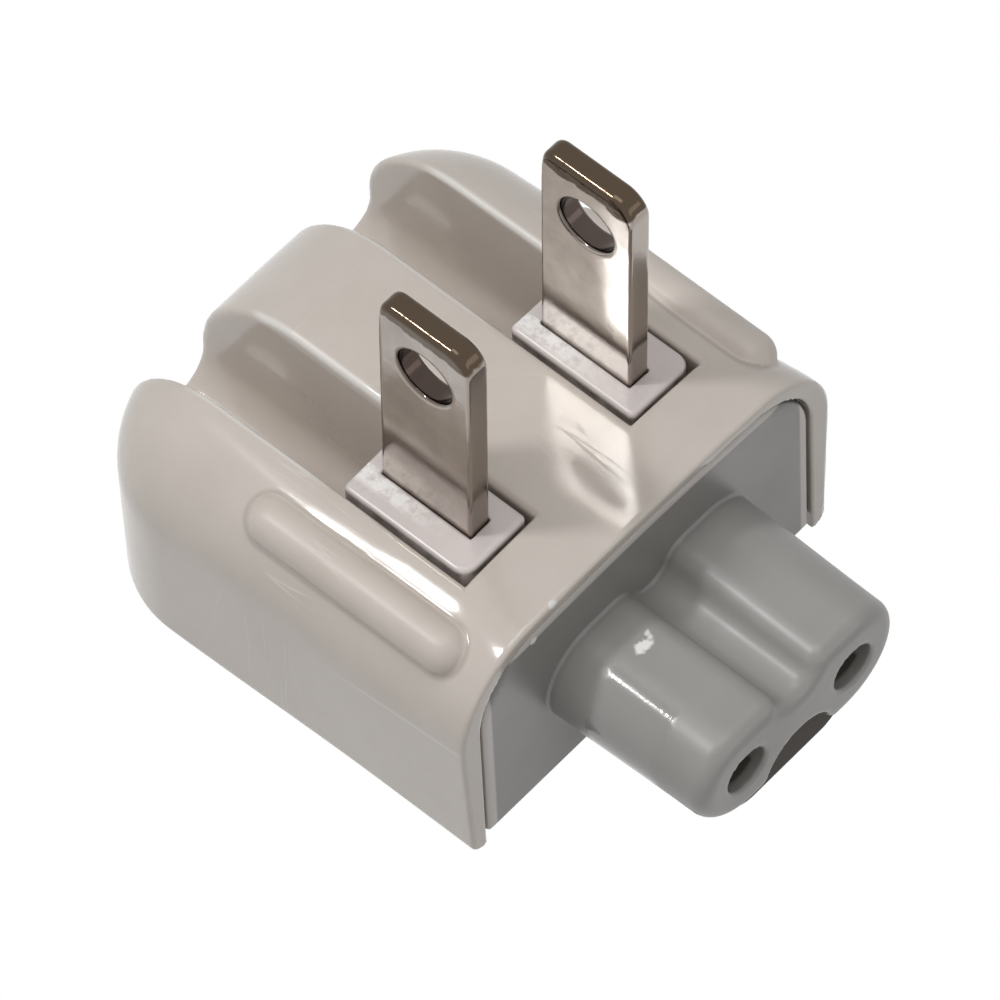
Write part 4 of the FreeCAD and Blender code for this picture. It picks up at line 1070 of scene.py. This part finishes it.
def stud_way(x, y, z):
    """The room for the stud's head, and the narrower way of its neck, open downwards."""
    along = slab(y, WAY_FRONT, WAY_BACK)
    head = shared(np.abs(x) - HEAD_HALF, along, slab(z, SOLE_TOP, HEAD_TOP))
    return np.minimum(head, shared(np.abs(x) - NECK_HALF, along, z - NECK_TOP))


def connector_field(x, y, z):
    solid = smooth_join(barrel_field(x, y, z), flange_field(x, y, z), FLANGE_FILLET)
    solid = np.minimum(solid, sole_field(x, y, z))
    mouth = np.maximum(rod_field(np.abs(x), z, SOCKET_X, SOCKET_Z, MOUTH_RADIUS), y - MOUTH_DEPTH)
    sleeve = np.maximum(rod_field(np.abs(x), z, SOCKET_X, SOCKET_Z, SLEEVE_RADIUS), SLEEVE_FRONT - y)
    solid = round_meet(solid, -mouth, MOUTH_ROUND)
    return np.maximum(solid, -np.minimum(stud_way(x, y, z), sleeve))


print("sockets", 2 * SOCKET_X, "mm apart")

# %% Connector skin
xs = grid_lines(-13.5, 13.5, 0.55, 0.15, mirrored(1.9, 2.2, 4.3, 6, 8, 13.15))
ys = grid_lines(-20.4, 18.8, 0.9, 0.15, (-20.1, -19.3, -9.25, -7.65, 4.75, 5.5, 18.35))
zs = grid_lines(-16.5, -0.7, 0.5, 0.15,
                (-16.15, -14.95, -14.6, -13.65, -12.9, -11, -9.2, -7, -5.5, -1.05))
connector = moulded("connector_skin", connector_field, xs, ys, zs, connector_grey)
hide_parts("connector_base")
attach(connector, "housing")

# %% [markdown]
# ## Floor
#
# The plug lies on its underside on a white table. The camera sees the table as plain white, and it
# mirrors as white in the shiny surfaces. For all other light it is a mid grey, which throws little
# light back. The Light Path node tells these rays apart.

# %% Floor
FLOOR_HALF, TABLE_GREY, WHITE = 3.0, 0.35, (1, 1, 1, 1)

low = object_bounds()[0][2]
floor_mesh = bpy.data.meshes.new("floor")
corners = [(x * FLOOR_HALF, y * FLOOR_HALF, low) for x, y in ((-1, -1), (1, -1), (1, 1), (-1, 1))]
floor_mesh.from_pydata(corners, [], [(0, 1, 2, 3)])
floor = bpy.data.objects.new("floor", floor_mesh)
scene.collection.objects.link(floor)


def two_faced(tree, lighting, seen, output):
    """One shader for the light that falls on things, another for what is seen or mirrored."""
    rays = added(tree, "LightPath").outputs
    share = rays["Is Camera Ray"]
    for title in ("Is Glossy Ray", "Is Transmission Ray"):
        share = added(tree, "Math", {"operation": "MAXIMUM"}, _0=share, _1=rays[title]).outputs[0]
    either = added(tree, "MixShader", _0=share, _1=lighting.outputs[0], _2=seen.outputs[0])
    added(tree, output, Surface=either.outputs[0])


paper = bpy.data.materials.new("white_table")
tree = empty_tree(paper)
diffuse = added(tree, "BsdfDiffuse", Color=(TABLE_GREY, TABLE_GREY, TABLE_GREY, 1))
two_faced(tree, diffuse, added(tree, "Emission", Color=WHITE), "OutputMaterial")
wear(floor, paper)
print("floor at %.2f mm" % (low / MM))

# %% [markdown]
# ## Light
#
# The room's own light is warm and soft, and weaker from the right. A small bright lamp stands high
# behind the left side, like a window: it draws the streaks on the shoulder, and the blades throw
# its light back onto the polished top. A wide lamp hangs overhead, and a faint one lights the
# connector from the front.

# %% Room
ROOM_LEFT, ROOM_RIGHT, ROOM_TURN = 0.42, 0.14, 0.8

world = bpy.data.worlds.new("room")
scene.world = world
tree = empty_tree(world)
facing = added(tree, "SeparateXYZ", _0=added(tree, "TexCoord").outputs["Generated"])
fade = added(tree, "MapRange", Value=facing.outputs["X"], From_Min=0.0, From_Max=ROOM_TURN,
             To_Min=ROOM_LEFT, To_Max=ROOM_RIGHT)
room = added(tree, "Background", Color=(1, 0.985, 0.96, 1), Strength=fade.outputs["Result"])
two_faced(tree, room, added(tree, "Background", Color=WHITE, Strength=1.0), "OutputWorld")
print("room light from", ROOM_RIGHT, "on the right to", ROOM_LEFT, "on the left")

# %% Lamps


def lamp(name, place, aim, width, height, power):
    """A rectangular lamp at a place in millimetres, aimed at a point."""
    data = bpy.data.lights.new(name, "AREA")
    data.shape = "RECTANGLE"
    data.size = width * MM
    data.size_y = height * MM
    data.energy = power
    made = bpy.data.objects.new(name, data)
    place = Vector(place)
    turned = (place - Vector(aim)).to_track_quat("Z", "Y").to_matrix().to_4x4()
    made.matrix_world = Matrix.Translation(place * MM) @ turned
    scene.collection.objects.link(made)
    print("lamp", name, "of", power, "W")


lamp("window", (-234, 212, 493), (0, 0, 0), 60, 60, 0.9)
lamp("ceiling", (0, 0, 700), (0, 0, 0), 400, 400, 1.03)
lamp("front_fill", (120, -520, 160), (0, 0, -8), 400, 200, 0.22)

scene.view_settings.view_transform = "Standard"

# %% [markdown]
# ## The end
#
# The dressed model has to stay inside the solids' box.
